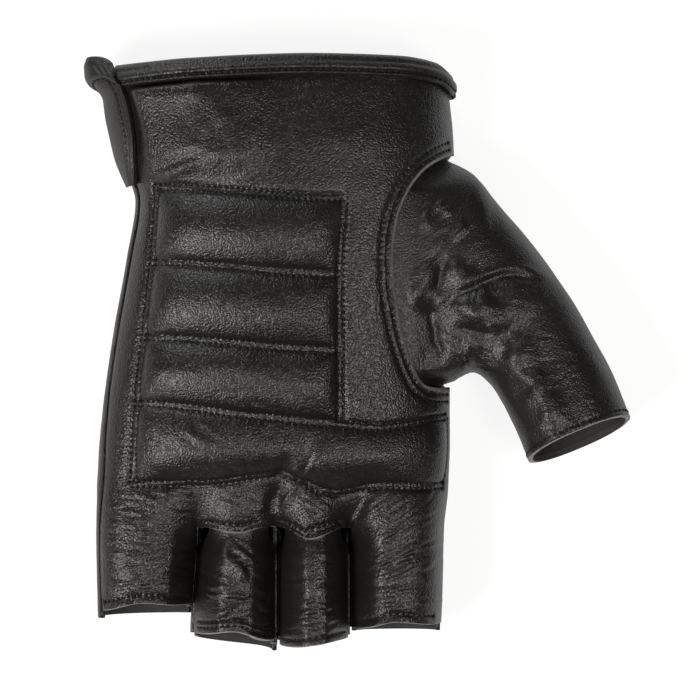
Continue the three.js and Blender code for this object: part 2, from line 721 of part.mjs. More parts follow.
// A place on the thumb stall: u round it, v from inside the hand to its hem, on smooth curves
// through the two root rings and the rings of the table
function thumbPlace(u, v) {
  const rings = THUMB.length + 1;
  const at = Math.min(rings - 1e-6, Math.max(0, v * rings));
  const k = Math.floor(at);
  const ring = (n) => {
    if (n <= 0) return thumbRoot(u, 1);
    return n === 1 ? thumbRoot(u, 0) : thumbRing(THUMB[Math.min(rings, n) - 2], u);
  };
  const [a, b, c, d] = [ring(k - 1), ring(k), ring(k + 1), ring(k + 2)];
  const t = at - k;
  const cubic = (axis) => {
    const [p, q, r, s] = [a[axis], b[axis], c[axis], d[axis]];
    const bend = (2 * p - 5 * q + 4 * r - s) * t * t + (3 * q - p - 3 * r + s) * t ** 3;
    return 0.5 * (2 * q + (r - p) * t + bend);
  };
  return new THREE.Vector3(cubic('x'), cubic('y'), cubic('z'));
}

function thumbStall() {
  const columns = 26;
  const rows = 20;
  const outer = [];
  const inner = [];
  for (const v of spread(rows)) {
    const outerRow = [];
    const innerRow = [];
    for (let j = 0; j < columns; j += 1) {
      const u = j / columns;
      const place = thumbPlace(u, v);
      const folded = u > 0.02 && u < 0.48 && v > 0.1;
      const sunk = folded ? groove(place.x, place.y, THUMB_FOLDS) * Math.sin(2 * Math.PI * u) : 0;
      const low = Math.min(1 - 2e-3, Math.max(2e-3, v));
      const normal = offset(thumbPlace, u, low, 1).sub(thumbPlace(u, low));
      outerRow.push(place.clone().addScaledVector(normal, -sunk));
      innerRow.push(place.clone().addScaledVector(normal, -sunk - leather));
    }
    outer.push(outerRow);
    inner.push(innerRow);
  }
  return sheet(outer, inner, () => true, true);
}

// A closed bar that follows loops of places, one loop for each stop along it, with two flat
// ends that are filled as profile is
function bar(loops, profile) {
  const width = profile.length;
  const positions = loops.flat().flatMap((place) => [place.x, place.y, place.z]);
  const index = [];
  for (let i = 0; i + 1 < loops.length; i += 1) {
    for (let j = 0; j < width; j += 1) {
      const a = i * width + j;
      const b = i * width + (j + 1) % width;
      index.push(a, b + width, b, a, a + width, b + width);
    }
  }
  const flat = profile.map(([out, up]) => new THREE.Vector2(out, up));
  const last = positions.length / 3 - width;
  for (const [a, b, c] of THREE.ShapeUtils.triangulateShape(flat, [])) {
    index.push(a, b, c, last + a, last + c, last + b);
  }
  const geometry = new THREE.BufferGeometry();
  geometry.setAttribute('position', new THREE.Float32BufferAttribute(positions, 3));
  geometry.setIndex(index);
  return geometry;
}

// The binding's section: how far out from the leather, and how far above its edge
function bindingProfile() {
  const centre = -leather / 2;
  const innerRadius = leather / 2 + 1.8 * gap;
  const outerRadius = innerRadius + bindingLeather;
  const legDown = edgeBelowTop - bindingDepth;
  const profile = [[centre + outerRadius, legDown], [centre + outerRadius + 0.4, legDown / 2]];
  for (const angle of spread(5, 0, Math.PI)) {
    profile.push([centre + outerRadius * Math.cos(angle), gap + outerRadius * Math.sin(angle)]);
  }
  profile.push([centre - outerRadius, legDown + 1], [centre - innerRadius, legDown + 1]);
  for (const angle of spread(3, Math.PI, 0)) {
    profile.push([centre + innerRadius * Math.cos(angle), gap + innerRadius * Math.sin(angle)]);
  }
  profile.push([centre + innerRadius, legDown]);
  return profile;
}

function cuffBinding() {
  const profile = bindingProfile();
  const first = turnAt(through(FLAP_EDGE, 84) + 2.2, 84, true);
  const last = turnAt(flapRoot + 1, 84, false);
  const loops = spread(46, first, last).map((turn) => {
    const edge = leatherEdge(turn);
    return profile.map(([out, up]) => offset((u, v) => around(u, -v), turn, -(edge + up), out));
  });
  return bar(loops, profile);
}

// The closure flap, from its root under the hand round the little-finger side to the palm
function wristFlap() {
  const surface = (u, v) => around(u, -v);
  const outer = [];
  const inner = [];
  for (const t of spread(9)) {
    const outerRow = [];
    const innerRow = [];
    for (const s of spread(10)) {
      const top = cuffTop(0) + mix(0.2, 3.0, ease(0.6, 1, s));
      const y = mix(top, flapBottom, t);
      const root = turnAt(flapRoot - gap, y, false) - 1;
      const edge = turnAt(through(FLAP_EDGE, y), y, true);
      const turn = mix(root, edge, s);
      const flare = flapFlare * ease(77, 85, y) * ease(root, -0.02, turn) * (1 - ease(0.02, edge, turn));
      const over = (leather + gap) * ease(root, -0.02, turn) + flare;
      const hemLine = top - bindingDepth;
      const hem = flapHem * ease(hemLine - 1, hemLine + 1, y) * ease(root, 0, turn);
      const bead = s > 0.95 ? flapBead : 0;
      outerRow.push(offset(surface, turn, -y, over + hem + bead));
      innerRow.push(offset(surface, turn, -y, over - leather));
    }
    outer.push(outerRow);
    inner.push(innerRow);
  }
  return sheet(outer, inner);
}

const glove = new THREE.Group();

function add(name, geometry, color) {
  geometry.computeVertexNormals();
  const material = new THREE.MeshStandardMaterial({ color, roughness: 0.55, metalness: 0 });
  const mesh = new THREE.Mesh(geometry, material);
  mesh.name = name;
  glove.add(mesh);
}

add('palm_panel', palmPanel(), 0x2a2928);
add('back_panel', backPanel(), 0x262525);
add('ring_front', fingerFront('ring'), 0x2b2a29);
add('middle_front', fingerFront('middle'), 0x2b2a29);
add('fourchette_little_ring', fourchette('little', 'ring'), 0x222121);
add('fourchette_ring_middle', fourchette('ring', 'middle'), 0x222121);
add('fourchette_middle_index', fourchette('middle', 'index'), 0x222121);
add('thumb_stall', thumbStall(), 0x2d2b2a);
add('cuff_binding', cuffBinding(), 0x242323);
add('wrist_flap', wristFlap(), 0x282726);

export default glove;
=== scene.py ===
"""Fingerless motorcycle glove for the left hand, lying on its back with the palm up.
Shapes are worked out in millimetres, in the row frame: +X the thumb side, +Y the cuff, +Z the palm."""
import math

import bpy
import numpy as np
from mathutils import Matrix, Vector
from mathutils.geometry import delaunay_2d_cdt


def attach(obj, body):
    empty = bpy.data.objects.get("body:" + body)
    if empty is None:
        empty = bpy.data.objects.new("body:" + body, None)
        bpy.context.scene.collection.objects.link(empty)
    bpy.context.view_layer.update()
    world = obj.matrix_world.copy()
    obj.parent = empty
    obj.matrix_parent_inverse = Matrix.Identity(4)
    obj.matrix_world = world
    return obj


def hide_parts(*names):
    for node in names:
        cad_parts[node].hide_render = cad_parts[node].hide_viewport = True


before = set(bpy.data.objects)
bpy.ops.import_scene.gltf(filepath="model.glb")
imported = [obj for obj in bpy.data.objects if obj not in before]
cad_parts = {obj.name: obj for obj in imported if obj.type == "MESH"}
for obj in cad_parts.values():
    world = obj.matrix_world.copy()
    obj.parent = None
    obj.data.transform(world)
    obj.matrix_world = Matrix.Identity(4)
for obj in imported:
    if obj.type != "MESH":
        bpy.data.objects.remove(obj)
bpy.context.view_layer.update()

# Driving dimensions, as in the part
LEATHER = 1.5
GAP = 0.3                         # between leathers that lie on each other
LAP = 5.0                         # how far fronts and thumb stall run in under the palm
WIDEST = 14.5                     # height at which the hand is widest
SEAM_HEIGHT = 22.0                # height of the little-finger side seam
CROTCH = -54.0                    # y of the finger crotches
PAD_RISE = 3.4
BAND_RISE = 2.4
BINDING_DEPTH = 6.7               # from the cuff's top down to the binding's lower edge
BINDING_LEATHER = 1.2
EDGE_BELOW_TOP = 2.6              # from the cuff's top down to the leathers' edge
CUFF_LIFT = 2.15                  # how much the back lifts at the cuff
FINGER_INSET = 0.12               # from a finger's side to its leather
RIM_TURN = 0.003                  # from the thumb side to the back panel's edge, in turns
WINDOW_TURN = 0.1                 # how much more at the thumb
WEB_BACK = 2.4                    # how far the webs lie behind the crotches
ROUNDNESS = 0.88                  # of the thumb stall's rings, 1 for an ellipse
CUFF_Y = 84.0                     # y where the hand's width is read for the cuff
SIDE_TOP = 84.4                   # y of the side seam's upper end
FLAP_TOP = 87.0                   # y of the cuff's top beside the flap
HAND_ROUND = 330                  # about how many millimetres one turn of the hand is
HEM_Y = -80.0                     # y where a finger's width is read for its hem
CUT_ENDS = -53.7                  # y where the palm's cut edge meets the outer fingers
PITCH = 1.9                       # from one stitch to the next
THREAD = 0.34                     # radius of the thread
ROW_APART = 0.9                   # from the middle of a double seam to each of its rows

# The hand: y, then the sides, the height and how flat the palm's arch is
HAND = {
    "y": [-92, -76, -54, -42, -30, -12, 6, 30, 46, 60, 76, 92],
    "ulnar": [-78.8, -79.4, -79.7, -79.5, -78.9, -77.1, -74.4, -70.1, -67.7, -72.6, -75.8, -77.4],
    "radial": [25.6, 26.2, 26.8, 28.1, 28.5, 28.5, 28.9, 29.7, 30.3, 30.0, 28.6, 27.6],
    "top": [29, 29, 30, 32, 34.5, 36.5, 37.5, 38.5, 38.5, 38, 36, 34],
    "square": [3.6, 3.6, 3.6, 3.3, 3.0, 2.8, 2.6, 2.6, 2.6, 2.6, 2.5, 2.5],
}

# The fingers: sides at the crotch and the tip, heights, lift of the back, and the hems' y
FINGERS = {
    "little": dict(left=(-79.7, -79.2), right=(-48.4, -50.8), top=(29, 28.5), lift=2,
                   hem=(-78.8, -76.2, -77.2), back=(-81.0, -80.4)),
    "ring": dict(left=(-48.1, -50.5), right=(-24.4, -24.4), top=(29, 28), lift=1,
                 hem=(-86.2, -85.0, -88.4), back=(-87.6, -92.2)),
    "middle": dict(left=(-24.1, -24.1), right=(-2.1, -2.0), top=(30, 30), lift=1,
                   hem=(-90.0, -89.0, -87.8), back=(-87.4, -86.6)),
    "index": dict(left=(-1.8, -1.7), right=(26.8, 26.0), top=(31, 30.5), lift=2,
                  hem=(-84.4, -81.8, -82.9), back=(-86.0, -85.2)),
}
NAMES = list(FINGERS)

PALM_LINES = {
    "cuff": [[-78, 86.9], [-49, 88.7], [-13, 90.0], [14, 89.5], [24, 88.0], [30, 84.2]],
    "padTop": [[-61, 49.7], [-4, 46.4]],
    "firstQuilt": [[-62, 27.1], [-5, 23.5]],
    "secondQuilt": [[-64.6, 4.5], [-4.7, 0.6]],
    "bandTop": [[-66.7, -15.4], [-33, -18.9], [-4.7, -21.7], [7, -22.6], [27, -19.9]],
    "bandBottom": [[-68, -40.0], [-46, -39.6], [-23, -37.2], [-6.5, -42.7], [7, -40.4], [27, -40.6]],
    "cutEdge": [[-49, -53.6], [-36, -55.1], [-26, -53.3], [-14, -56.9], [-2, -53.6], [10, -53.6]],
}
PAD_LEFT = [[-40, -67.9], [-15.4, -66.7], [4.5, -64.6], [27.1, -62.2], [49.7, -60.7]]
PAD_RIGHT = [[-21.7, -4.6], [0.6, -4.7], [23.5, -4.8], [46.4, -3.5]]
THUMB_HOLE = [
    [31.5, 60.8], [21, 54.6], [13.8, 43], [11.6, 27], [13.3, 12], [16.9, -1.5], [21.5, -9.8], [30, -10.9],
]

# The thumb stall's rings: outer x and y, inner x and y, middle height, half depth, slant
THUMB = np.array([
    [35.8, 54.2, 30.0, -8.8, 16.6, 15.9, 0],
    [43.8, 44.5, 32.0, -7.6, 17.0, 15.8, 0],
    [53.5, 33.2, 34.8, -6.4, 17.2, 15.2, 0.5],
    [63.9, 18.9, 38.2, -7.4, 18.0, 14.6, 1],
    [71.8, 5.2, 43.0, -12.8, 19.4, 14.0, 2],
    [78.2, -7.0, 47.7, -21.8, 21.0, 13.6, 2.7],
    [83.3, -20.1, 52.3, -33.2, 22.6, 13.2, 3.3],
])

FLAP_EDGE = [
    [52, -66.2], [58.6, -66.4], [64.4, -66.7], [70.5, -67.6], [77.2, -69.2], [83.3, -71.7], [89, -74.1],
]
FLAP_BOTTOM = 52
FLAP_ROOT = -61
FLAP_FLARE = 3.3
CUFF_BACK = [[-78, 86.9], [-25, 85], [30, 84.2]]


# Mixing and curves, for single numbers and for arrays
def mix(a, b, t):
    return a + (b - a) * t


def ease(start, end, value):
    t = np.clip((np.asarray(value, float) - start) / (end - start), 0, 1)
    return t * t * (3 - 2 * t)


def bell(away, width):
    return np.exp(-(away / width) ** 2)


def through(places, at):
    """A smooth curve through places [at, value] that never swings past them."""
    places = np.asarray(places, float)
    x, y = places[:, 0], places[:, 1]
    at = np.clip(np.asarray(at, float), x[0], x[-1])
    step = np.diff(x)
    slope = np.diff(y) / step
    before, after = slope[:-1], slope[1:]
    same = before * after > 0
    tangent = np.zeros(len(x))
    tangent[1:-1] = np.where(same, 2 * before * after / np.where(same, before + after, 1), 0)
    k = np.clip(np.searchsorted(x, at) - 1, 0, len(x) - 2)
    span = step[k]
    t = (at - x[k]) / span
    return ((1 + 2 * t) * (1 - t) ** 2 * y[k] + t * (1 - t) ** 2 * span * tangent[k]
            + t * t * (3 - 2 * t) * y[k + 1] - t * t * (1 - t) * span * tangent[k + 1])


def hand(key, y):
    return through(np.column_stack([HAND["y"], HAND[key]]), y)


def sides(y):
    return hand("ulnar", y), hand("radial", y)


def from_side(x, y):
    """How far a place lies from the nearer side of the hand."""
    left, right = sides(y)
    return np.minimum(x - left, right - x)


def off_middle(x, left, right):
    return np.clip(np.abs((2 * x - left - right) / (right - left)), 0, 1)


def line_y(name, x):
    return through(PALM_LINES[name], x)


def finger(name, y):
    """A finger's left and right side, its top and its back's lift at y."""
    f = FINGERS[name]
    t = ease(CROTCH + 6, -88, y)
    left = hand("ulnar", y) if name == "little" else mix(*f["left"], t)
    right = hand("radial", y) if name == "index" else mix(*f["right"], t)
    return left, right, mix(*f["top"], t), f["lift"] * t


def hem_y(name, share):
    """The y of a finger's front hem at a share of the finger's width."""
    return through(np.column_stack([[0, 0.5, 1], FINGERS[name]["hem"]]), share)


def own_finger(x, y):
    """Which finger each place belongs to, with that finger's left, right, top and lift."""
    fingers = [finger(name, y) for name in NAMES]
    which = np.zeros(np.broadcast(x, y).shape, int)
    for k in range(1, len(NAMES)):
        which[x > (fingers[k - 1][1] + fingers[k][0]) / 2] = k
    parts = [np.choose(which, [np.broadcast_to(one[n], which.shape) for one in fingers]) for n in range(4)]
    return [which] + parts


def arch(x, left, right, square):
    return (1 - off_middle(x, left, right) ** square) ** 0.45


def sharp_front(x, y):
    """Height of the front: the hand's arch, which parts into the fingers' arches."""
    palm = WIDEST + (hand("top", y) - WIDEST) * arch(x, *sides(y), hand("square", y))
    _, left, right, top, _ = own_finger(x, y)
    own = WIDEST + (top - WIDEST) * arch(x, left, right, 2.4)
    drop = palm - own
    room = through([[CROTCH - 8, 60], [CROTCH, 11], [CROTCH + 10, 3.5], [CROTCH + 24, 0.01]], y)
    web = np.where(drop > 0, palm - room * (1 - np.exp(-np.maximum(drop, 0) / room)),
                   palm - drop * ease(CROTCH + 24, CROTCH, y))
    return mix(web, own, ease(CROTCH, CROTCH - 12, y))


def flank_drop(x, y):
    """How much lower a finger's front lies beside its neighbour."""
    which, left, right, _, _ = own_finger(x, y)
    from_left = np.where(which > 0, x - left, 99.0)
    from_right = np.where(which < len(NAMES) - 1, right - x, 99.0)
    fall = np.maximum(3.6 * ease(9.5, 0, from_left), 3.2 * ease(7.5, 0, from_right))
    return fall * ease(CROTCH + 3, CROTCH - 7, y)


def front_height(x, y):
    """The front's height with the valleys between the fingers rounded."""
    x, y = np.broadcast_arrays(np.asarray(x, float), np.asarray(y, float))
    reach = 1.3 * ease(CROTCH, CROTCH + 7, y) * ease(4, 12, from_side(x, y))
    total = np.zeros(x.shape)
    for k, weight in ((-2, 1), (-1, 2), (0, 2), (1, 2), (2, 1)):
        total += weight * sharp_front(x + k * reach, y)
    return total / 8 - flank_drop(x, y)


def curl(x, left, right, flat, height):
    beyond = np.maximum(0, (off_middle(x, left, right) - flat) / (1 - flat))
    return height * (1 - np.sqrt(1 - beyond * beyond))


def back_height(x, y):
    palm = curl(x, *sides(y), 0.66, WIDEST)
    which, left, right, _, lift = own_finger(x, y)
    inner = curl(x, left, right, 0.45, 5)
    left_half = x < (left + right) / 2
    outer_side = ((which == 0) & left_half) | ((which == 3) & ~left_half)
    own = np.where(outer_side, palm, mix(palm, np.maximum(palm, inner), ease(CROTCH, CROTCH - 10, y)))
    lift = lift + CUFF_LIFT * ease(64, 80, y)
    return own + lift * (1 - own / WIDEST)


def x_at(turn, y):
    left, right = sides(y)
    return (left + right) / 2 - (right - left) / 2 * np.cos(2 * np.pi * turn)


def around(turn, y):
    """A place on the hand: turn 0 at the little-finger side, 0.5 at the thumb side, 1 behind."""
    turn, y = np.broadcast_arrays(np.asarray(turn, float), np.asarray(y, float))
    x = x_at(turn, y)
    behind = (turn < 0) | (turn > 0.5)
    return np.stack([x, y, np.where(behind, back_height(x, y), front_height(x, y))], -1)


def turn_at(x, y, front):
    left, right = sides(y)
    turn = np.arccos(np.clip((left + right - 2 * x) / (right - left), -1, 1)) / (2 * np.pi)
    return turn if front else 1 - turn


def seam_turn(y):
    """The turn of the little-finger side seam."""
    y = np.asarray(y, float)
    low, high = np.zeros(y.shape), np.full(y.shape, 0.2)
    for _ in range(24):
        middle = (low + high) / 2
        below = around(middle, y)[..., 2] < SEAM_HEIGHT
        low, high = np.where(below, middle, low), np.where(below, high, middle)
    return low


def unit(vectors):
    return vectors / np.maximum(np.linalg.norm(vectors, axis=-1, keepdims=True), 1e-12)


def outward(surface, u, v, step_u, step_v):
    """The outward direction of a surface whose u runs to the thumb side and v to the cuff."""
    along_u = surface(u + step_u, v) - surface(u - step_u, v)
    along_v = surface(u, v + step_v) - surface(u, v - step_v)
    return unit(np.cross(along_u, along_v))


def hand_normal(turn, y):
    return outward(around, turn, y, 1e-3, 1e-2)


# Soft random waves of the leather, the same on every run
LATTICE = np.random.RandomState(7).uniform(-1, 1, (64, 64))


def waves(x, y, size, shift=0.0):
    """Smooth noise between about -1 and 1, with lumps of that size."""
    a, b = x / size + 17.3 + shift, y / size + 5.1 - shift
    i, j = np.floor(a).astype(int), np.floor(b).astype(int)
    s, t = a - i, b - j
    s, t = s * s * (3 - 2 * s), t * t * (3 - 2 * t)
    at = lambda m, n: LATTICE[m % 64, n % 64]
    return mix(mix(at(i, j), at(i + 1, j), s), mix(at(i, j + 1), at(i + 1, j + 1), s), t)


def resample(places, step):
    """A polyline with even steps, through the same ends."""
    places = np.asarray(places, float)
    length = np.concatenate([[0], np.cumsum(np.linalg.norm(np.diff(places, axis=0), axis=1))])
    count = max(1, int(round(length[-1] / step)))
    at = np.linspace(0, length[-1], count + 1)
    return np.column_stack([np.interp(at, length, places[:, k]) for k in range(places.shape[1])])


def beside_line(px, py, line):
    """For places px, py: the signed distance to a polyline, left of it positive, and how far along."""
    line = np.asarray(line, float)
    a, span = line[:-1], np.diff(line, axis=0)
    length = np.linalg.norm(span, axis=1)
    start = np.concatenate([[0], np.cumsum(length)[:-1]])
    best = np.full(px.shape, 1e9)
    signed = np.full(px.shape, 1e9)
    along = np.zeros(px.shape)
    for k in range(len(a)):
        if length[k] < 1e-9:
            continue
        rx, ry = px - a[k, 0], py - a[k, 1]
        t = np.clip((rx * span[k, 0] + ry * span[k, 1]) / length[k] ** 2, 0, 1)
        away = np.hypot(rx - t * span[k, 0], ry - t * span[k, 1])
        side = np.where(span[k, 0] * ry - span[k, 1] * rx < 0, -1.0, 1.0)
        closer = away < best
        best = np.where(closer, away, best)
        signed = np.where(closer, away * side, signed)
        along = np.where(closer, start[k] + t * length[k], along)
    return signed, along, start[-1] + length[-1]


# The palm laid out on a plane: p runs over the leather from the little-finger side to the
# thumb side and y stays y. Valleys between the fingers count for half their depth.
ROW_STEP = 0.5
P_STEP = 0.1
ROW_END = 93.0                    # the table's rows run from -ROW_END to ROW_END in y


def palm_table():
    ys = np.arange(-ROW_END, ROW_END + 0.01, ROW_STEP)[:, None]
    steps = (1 - np.cos(np.linspace(0, np.pi, 300)))[None, :] / 2
    spans = [sides(ys)] + [finger(name, ys)[:2] for name in NAMES]
    x = np.sort(np.concatenate([mix(a, b, steps) for a, b in spans], axis=1), axis=1)
    z = front_height(x, ys)
    steep = mix(1.0, 0.5, ease(6, 14, from_side(x, ys)))
    step = np.hypot(np.diff(x, axis=1), np.diff(z, axis=1) * steep[:, 1:])
    length = np.concatenate([np.zeros((len(ys), 1)), np.cumsum(step, axis=1)], axis=1)
    width = length[int(ROW_END / ROW_STEP), -1]
    share = ease(-52, 2, x)
    p = length + share * (width - length[:, -1:])
    turns = turn_at(x, ys, True)
    grid = np.arange(0, width + P_STEP, P_STEP)
    return x, p, np.array([np.interp(grid, p[k], turns[k]) for k in range(len(ys))]), width


PALM_X, PALM_P, PALM_TURNS, PALM_WIDTH = palm_table()


def palm_x(p, y):
    row = np.clip((y + ROW_END) / ROW_STEP, 0, len(PALM_TURNS) - 1.001)
    column = np.clip(p / P_STEP, 0, PALM_TURNS.shape[1] - 1.001)
    i, j = row.astype(int), column.astype(int)
    s, t = row - i, column - j
    above = mix(PALM_TURNS[i, j], PALM_TURNS[i, j + 1], t)
    below = mix(PALM_TURNS[i + 1, j], PALM_TURNS[i + 1, j + 1], t)
    return x_at(mix(above, below, s), y)


def palm_p(x, y):
    x, y = np.broadcast_arrays(np.asarray(x, float), np.asarray(y, float))
    result = np.empty(x.size)
    for n, (one_x, one_y) in enumerate(zip(x.ravel(), y.ravel())):
        row = min(max((one_y + ROW_END) / ROW_STEP, 0), len(PALM_P) - 1.001)
        k = int(row)
        above, below = (np.interp(one_x, PALM_X[m], PALM_P[m]) for m in (k, k + 1))
        result[n] = mix(above, below, row - k)
    return result.reshape(x.shape)


def palm_base(p, y):
    x = palm_x(p, y)
    return np.stack([x, y, front_height(x, y)], -1)


def palm_normal(p, y):
    step = 0.2
    which = own_finger(palm_x(p, y), y)[0]
    parted = y < CROTCH
    near = lambda other: np.where(parted & (own_finger(palm_x(other, y), y)[0] != which), p, other)
    before, after = near(np.maximum(p - step, 0)), near(np.minimum(p + step, PALM_WIDTH))
    across = palm_base(after, y) - palm_base(before, y)
    along = palm_base(p, y + step) - palm_base(p, y - step)
    return unit(np.cross(across, along))


def in_plane(line):
    """A line seen from above, in the palm's plane."""
    return np.column_stack([palm_p(line[:, 0], line[:, 1]), line[:, 1]])


def on_palm(places, step=1.0):
    """A line over the palm given as places x, y, in the palm's plane and with even steps."""
    return resample(in_plane(resample(places, 2.0)), step)


def line_between(name, left, right):
    """One of the palm's lines from x left to x right, as x and y."""
    x = np.linspace(left, right, 24)
    return np.column_stack([x, line_y(name, x)])


def upright(table, start, end):
    """A line along the cuff's direction, whose x follows a table, as x and y."""
    y = np.linspace(start, end, 16)
    return np.column_stack([through(table, y), y])


def hole_curve(t):
    """The thumb hole's edge, t from 0 at the wrist end to 1, as a centripetal curve through its places."""
    knots = np.array(THUMB_HOLE, float)
    count = len(knots) - 1
    knots = np.vstack([2 * knots[0] - knots[1], knots, 2 * knots[-1] - knots[-2]])
    t = np.clip(np.asarray(t, float), 0, 1) * count
    k = np.clip(np.floor(t).astype(int), 0, count - 1)
    t = (t - k)[..., None]
    a, b, c, d = (knots[k + n] for n in range(4))
    gap = lambda m, n: np.maximum(np.sum((m - n) ** 2, -1, keepdims=True) ** 0.25, 1e-6)
    ab, bc, cd = gap(a, b), gap(b, c), gap(c, d)
    start = ((b - a) / ab - (c - a) / (ab + bc) + (c - b) / bc) * bc
    end = ((c - b) / bc - (d - b) / (bc + cd) + (d - c) / cd) * bc
    return (b + start * t + (-3 * b + 3 * c - 2 * start - end) * t ** 2
            + (2 * b - 2 * c + start + end) * t ** 3)


def hem_line(name):
    """The front hem of a finger from its left side to its right side, as x and y."""
    left, right, _, _ = finger(name, HEM_Y)
    x = np.linspace(left, right, 40)
    places = np.column_stack([[left, (left + right) / 2, right], FINGERS[name]["hem"]])
    return np.column_stack([x, through(places, x)])


# Seams of the palm: a line in the palm's plane, how far its two rows lie from it, and the
# depth of the valley that they press into the leather. A single row has 0 apart.
def palm_seams():
    crossing = [
        ("padTop", -61.6, -3.0, 0.5), ("firstQuilt", -62.4, -4.4, 0.3), ("secondQuilt", -64.8, -4.2, 0.3),
        ("bandTop", -68.2, 27.6, 0.3), ("bandBottom", -68.8, 27.0, 0.4),
    ]
    seams = [(on_palm(line_between(name, left, right)), ROW_APART, valley)
             for name, left, right, valley in crossing]
    hole = hole_curve(np.linspace(0.03, 0.97, 60))
    seams += [
        (on_palm(upright(PAD_LEFT, 50.2, -40.4)), 1.05, 0.4),
        (on_palm(upright(PAD_RIGHT, 47.0, -21.6)), 1.0, 0.4),
        (on_palm([[27.9, -19.5], [27.3, -30], [26.6, -41]]), 0.0, 0.3),
        (shifted(on_palm(hole, 0.7), -3.3), 1.15, 0.35),
        (shifted(on_palm(line_between("cutEdge", -47.6, -28.4), 0.7), 1.7), 0.8, 0.4),
        (shifted(on_palm(line_between("cutEdge", -24.4, -2.6), 0.7), 1.9), 0.85, 0.4),
        (shifted(on_palm(hem_line("little")[3:-1]), 2.5), 0.0, 0.3),
        (shifted(on_palm(hem_line("index")[1:-3]), 2.5), 0.0, 0.3),
    ]
    return [(resample(line, 1.0), apart, valley) for line, apart, valley in seams]


def shifted(line, distance):
    """A line moved sideways to its left by a distance."""
    line = np.asarray(line, float)
    along = np.gradient(line, axis=0)
    along /= np.linalg.norm(along, axis=1, keepdims=True)
    return line + distance * np.column_stack([-along[:, 1], along[:, 0]])


SEAMS = palm_seams()


def stitched(away, along, total, apart, valley):
    """The relief of a seam: a valley, with a furrow under each row of thread and a ridge between."""
    ends = ease(0, 1.5, along) * ease(total, total - 1.5, along)
    row = np.abs(np.abs(away) - apart) if apart else np.abs(away)
    pull = 0.5 - 0.5 * np.cos(2 * np.pi * along / PITCH)
    furrow = -0.36 * bell(row, 0.5) - 0.26 * bell(row, 0.42) * pull
    between = 0.1 * bell(away, 0.4) if apart else 0
    pucker = 0.03 * bell(row, 1.6) * np.cos(2 * np.pi * along / PITCH)
    return (furrow + between + pucker - valley * bell(away, 2.0)) * ends


# Creases: half-width, depth (a negative one stands out), height of the fold of leather beside it
# and the fold's side (1 is left of the line's direction), and the line's places x, y seen from
# above. Some rows also say over what share of the line each end fades (taper), how wide the
# left and the right side are (wide), or that the bottom is sharp.
PALM_CREASES = [
    (0.6, 0.22, 0.28, 1, [[-11.5, -21.5], [-13, -29], [-16, -36], [-20.5, -41.5], [-24.4, -47.5],
     [-25.6, -53.5]]),
    (2.3, 1.2, 0.5, 1, [[-19.5, -27.0], [-21.5, -34.0], [-23.6, -41.0], [-25.2, -47.0], [-25.6, -52.5]]),
    (1.3, 0.35, 0.35, -1, [[-27.2, -40.5], [-26.4, -45.5], [-27.0, -51.0]]),
    (2.0, 0.9, 0.5, 1, [[2.5, -42.0], [1.2, -47.0], [-1.6, -51.5]]),
    (3.4, 0.55, 0.3, 1, [[-8.6, -19.8], [-15.5, -31.5], [-19.5, -36.5]]),
    (4.0, 0.7, 0.5, 1, [[-62, 50.2], [-48, 52], [-30, 52.5]]),
    (6.0, -0.9, 0, 1, [[-52, 84], [-44, 74], [-36, 62], [-31, 53]], dict(taper=0.2)),
    (1.7, 0.8, 0.5, -1, [[-62.5, 55.0], [-58, 56.2], [-50, 58.6], [-44, 59.0]]),
    (2.2, 0.25, 0.2, 1, [[-34, -20.5], [-24, -24], [-14, -22.5]]),
    (2.6, 0.22, 0.3, 1, [[-62, -24], [-52, -31], [-40, -36.5]]),
    (1.6, 0.15, 0.2, 1, [[-58, -22], [-47, -28.5], [-38, -31]]),
    (3.0, 0.2, 0.3, 1, [[-52, -5.5], [-36, -9], [-20, -13]]),
    (3.0, 0.15, 0.25, -1, [[-30, 19], [-18, 15], [-8, 12]]),
]

# Fields of fine creases: x, y, how many, the angle of their run in degrees, length, width, depth
CREASE_FIELDS = [
    ((4, 24), (-66, -44), 34, (38, 20), (6, 13), (0.4, 0.7), (0.11, 0.26)),
    ((4, 23), (-80, -62), 26, (22, 2), (6, 14), (0.4, 0.7), (0.09, 0.21)),
    ((-75, -63), (-76, -44), 34, (-8, 6), (5, 11), (0.4, 0.7), (0.11, 0.27)),
    ((-64, -51), (-74, -43), 32, (-14, 4), (5, 11), (0.4, 0.7), (0.11, 0.27)),
    ((-50, -30), (-52, -42), 10, (-22, -6), (6, 11), (0.4, 0.7), (0.08, 0.15)),
    ((-22, -4), (-54, -43), 12, (-25, -5), (4, 8), (0.4, 0.7), (0.08, 0.15)),
    ((-64, -36), (-37, -20), 22, (-35, -20), (6, 15), (0.5, 0.9), (0.06, 0.17)),
    ((-44, -12), (-18, -6), 16, (-32, -18), (6, 14), (0.5, 0.9), (0.06, 0.17)),
]


def crease_field(seed, x, y, count, angle, length, width, depth):
    random = np.random.RandomState(seed)
    creases = []
    for n in range(count):
        down = (n + random.uniform(-0.4, 0.4)) / max(1, count - 1)
        centre = np.array([random.uniform(*x), mix(y[1], y[0], np.clip(down, 0, 1))])
        turn = math.radians(mix(angle[0], angle[1], down) + random.uniform(-9, 9))
        half = random.uniform(*length) / 2
        run = np.array([math.cos(turn), math.sin(turn)])
        bow = np.array([-run[1], run[0]]) * random.uniform(-0.12, 0.12) * half
        creases.append((random.uniform(*width), random.uniform(*depth), random.uniform(*depth) * 1.1, 1,
                        [centre - half * run, centre + bow, centre + half * run]))
    return creases


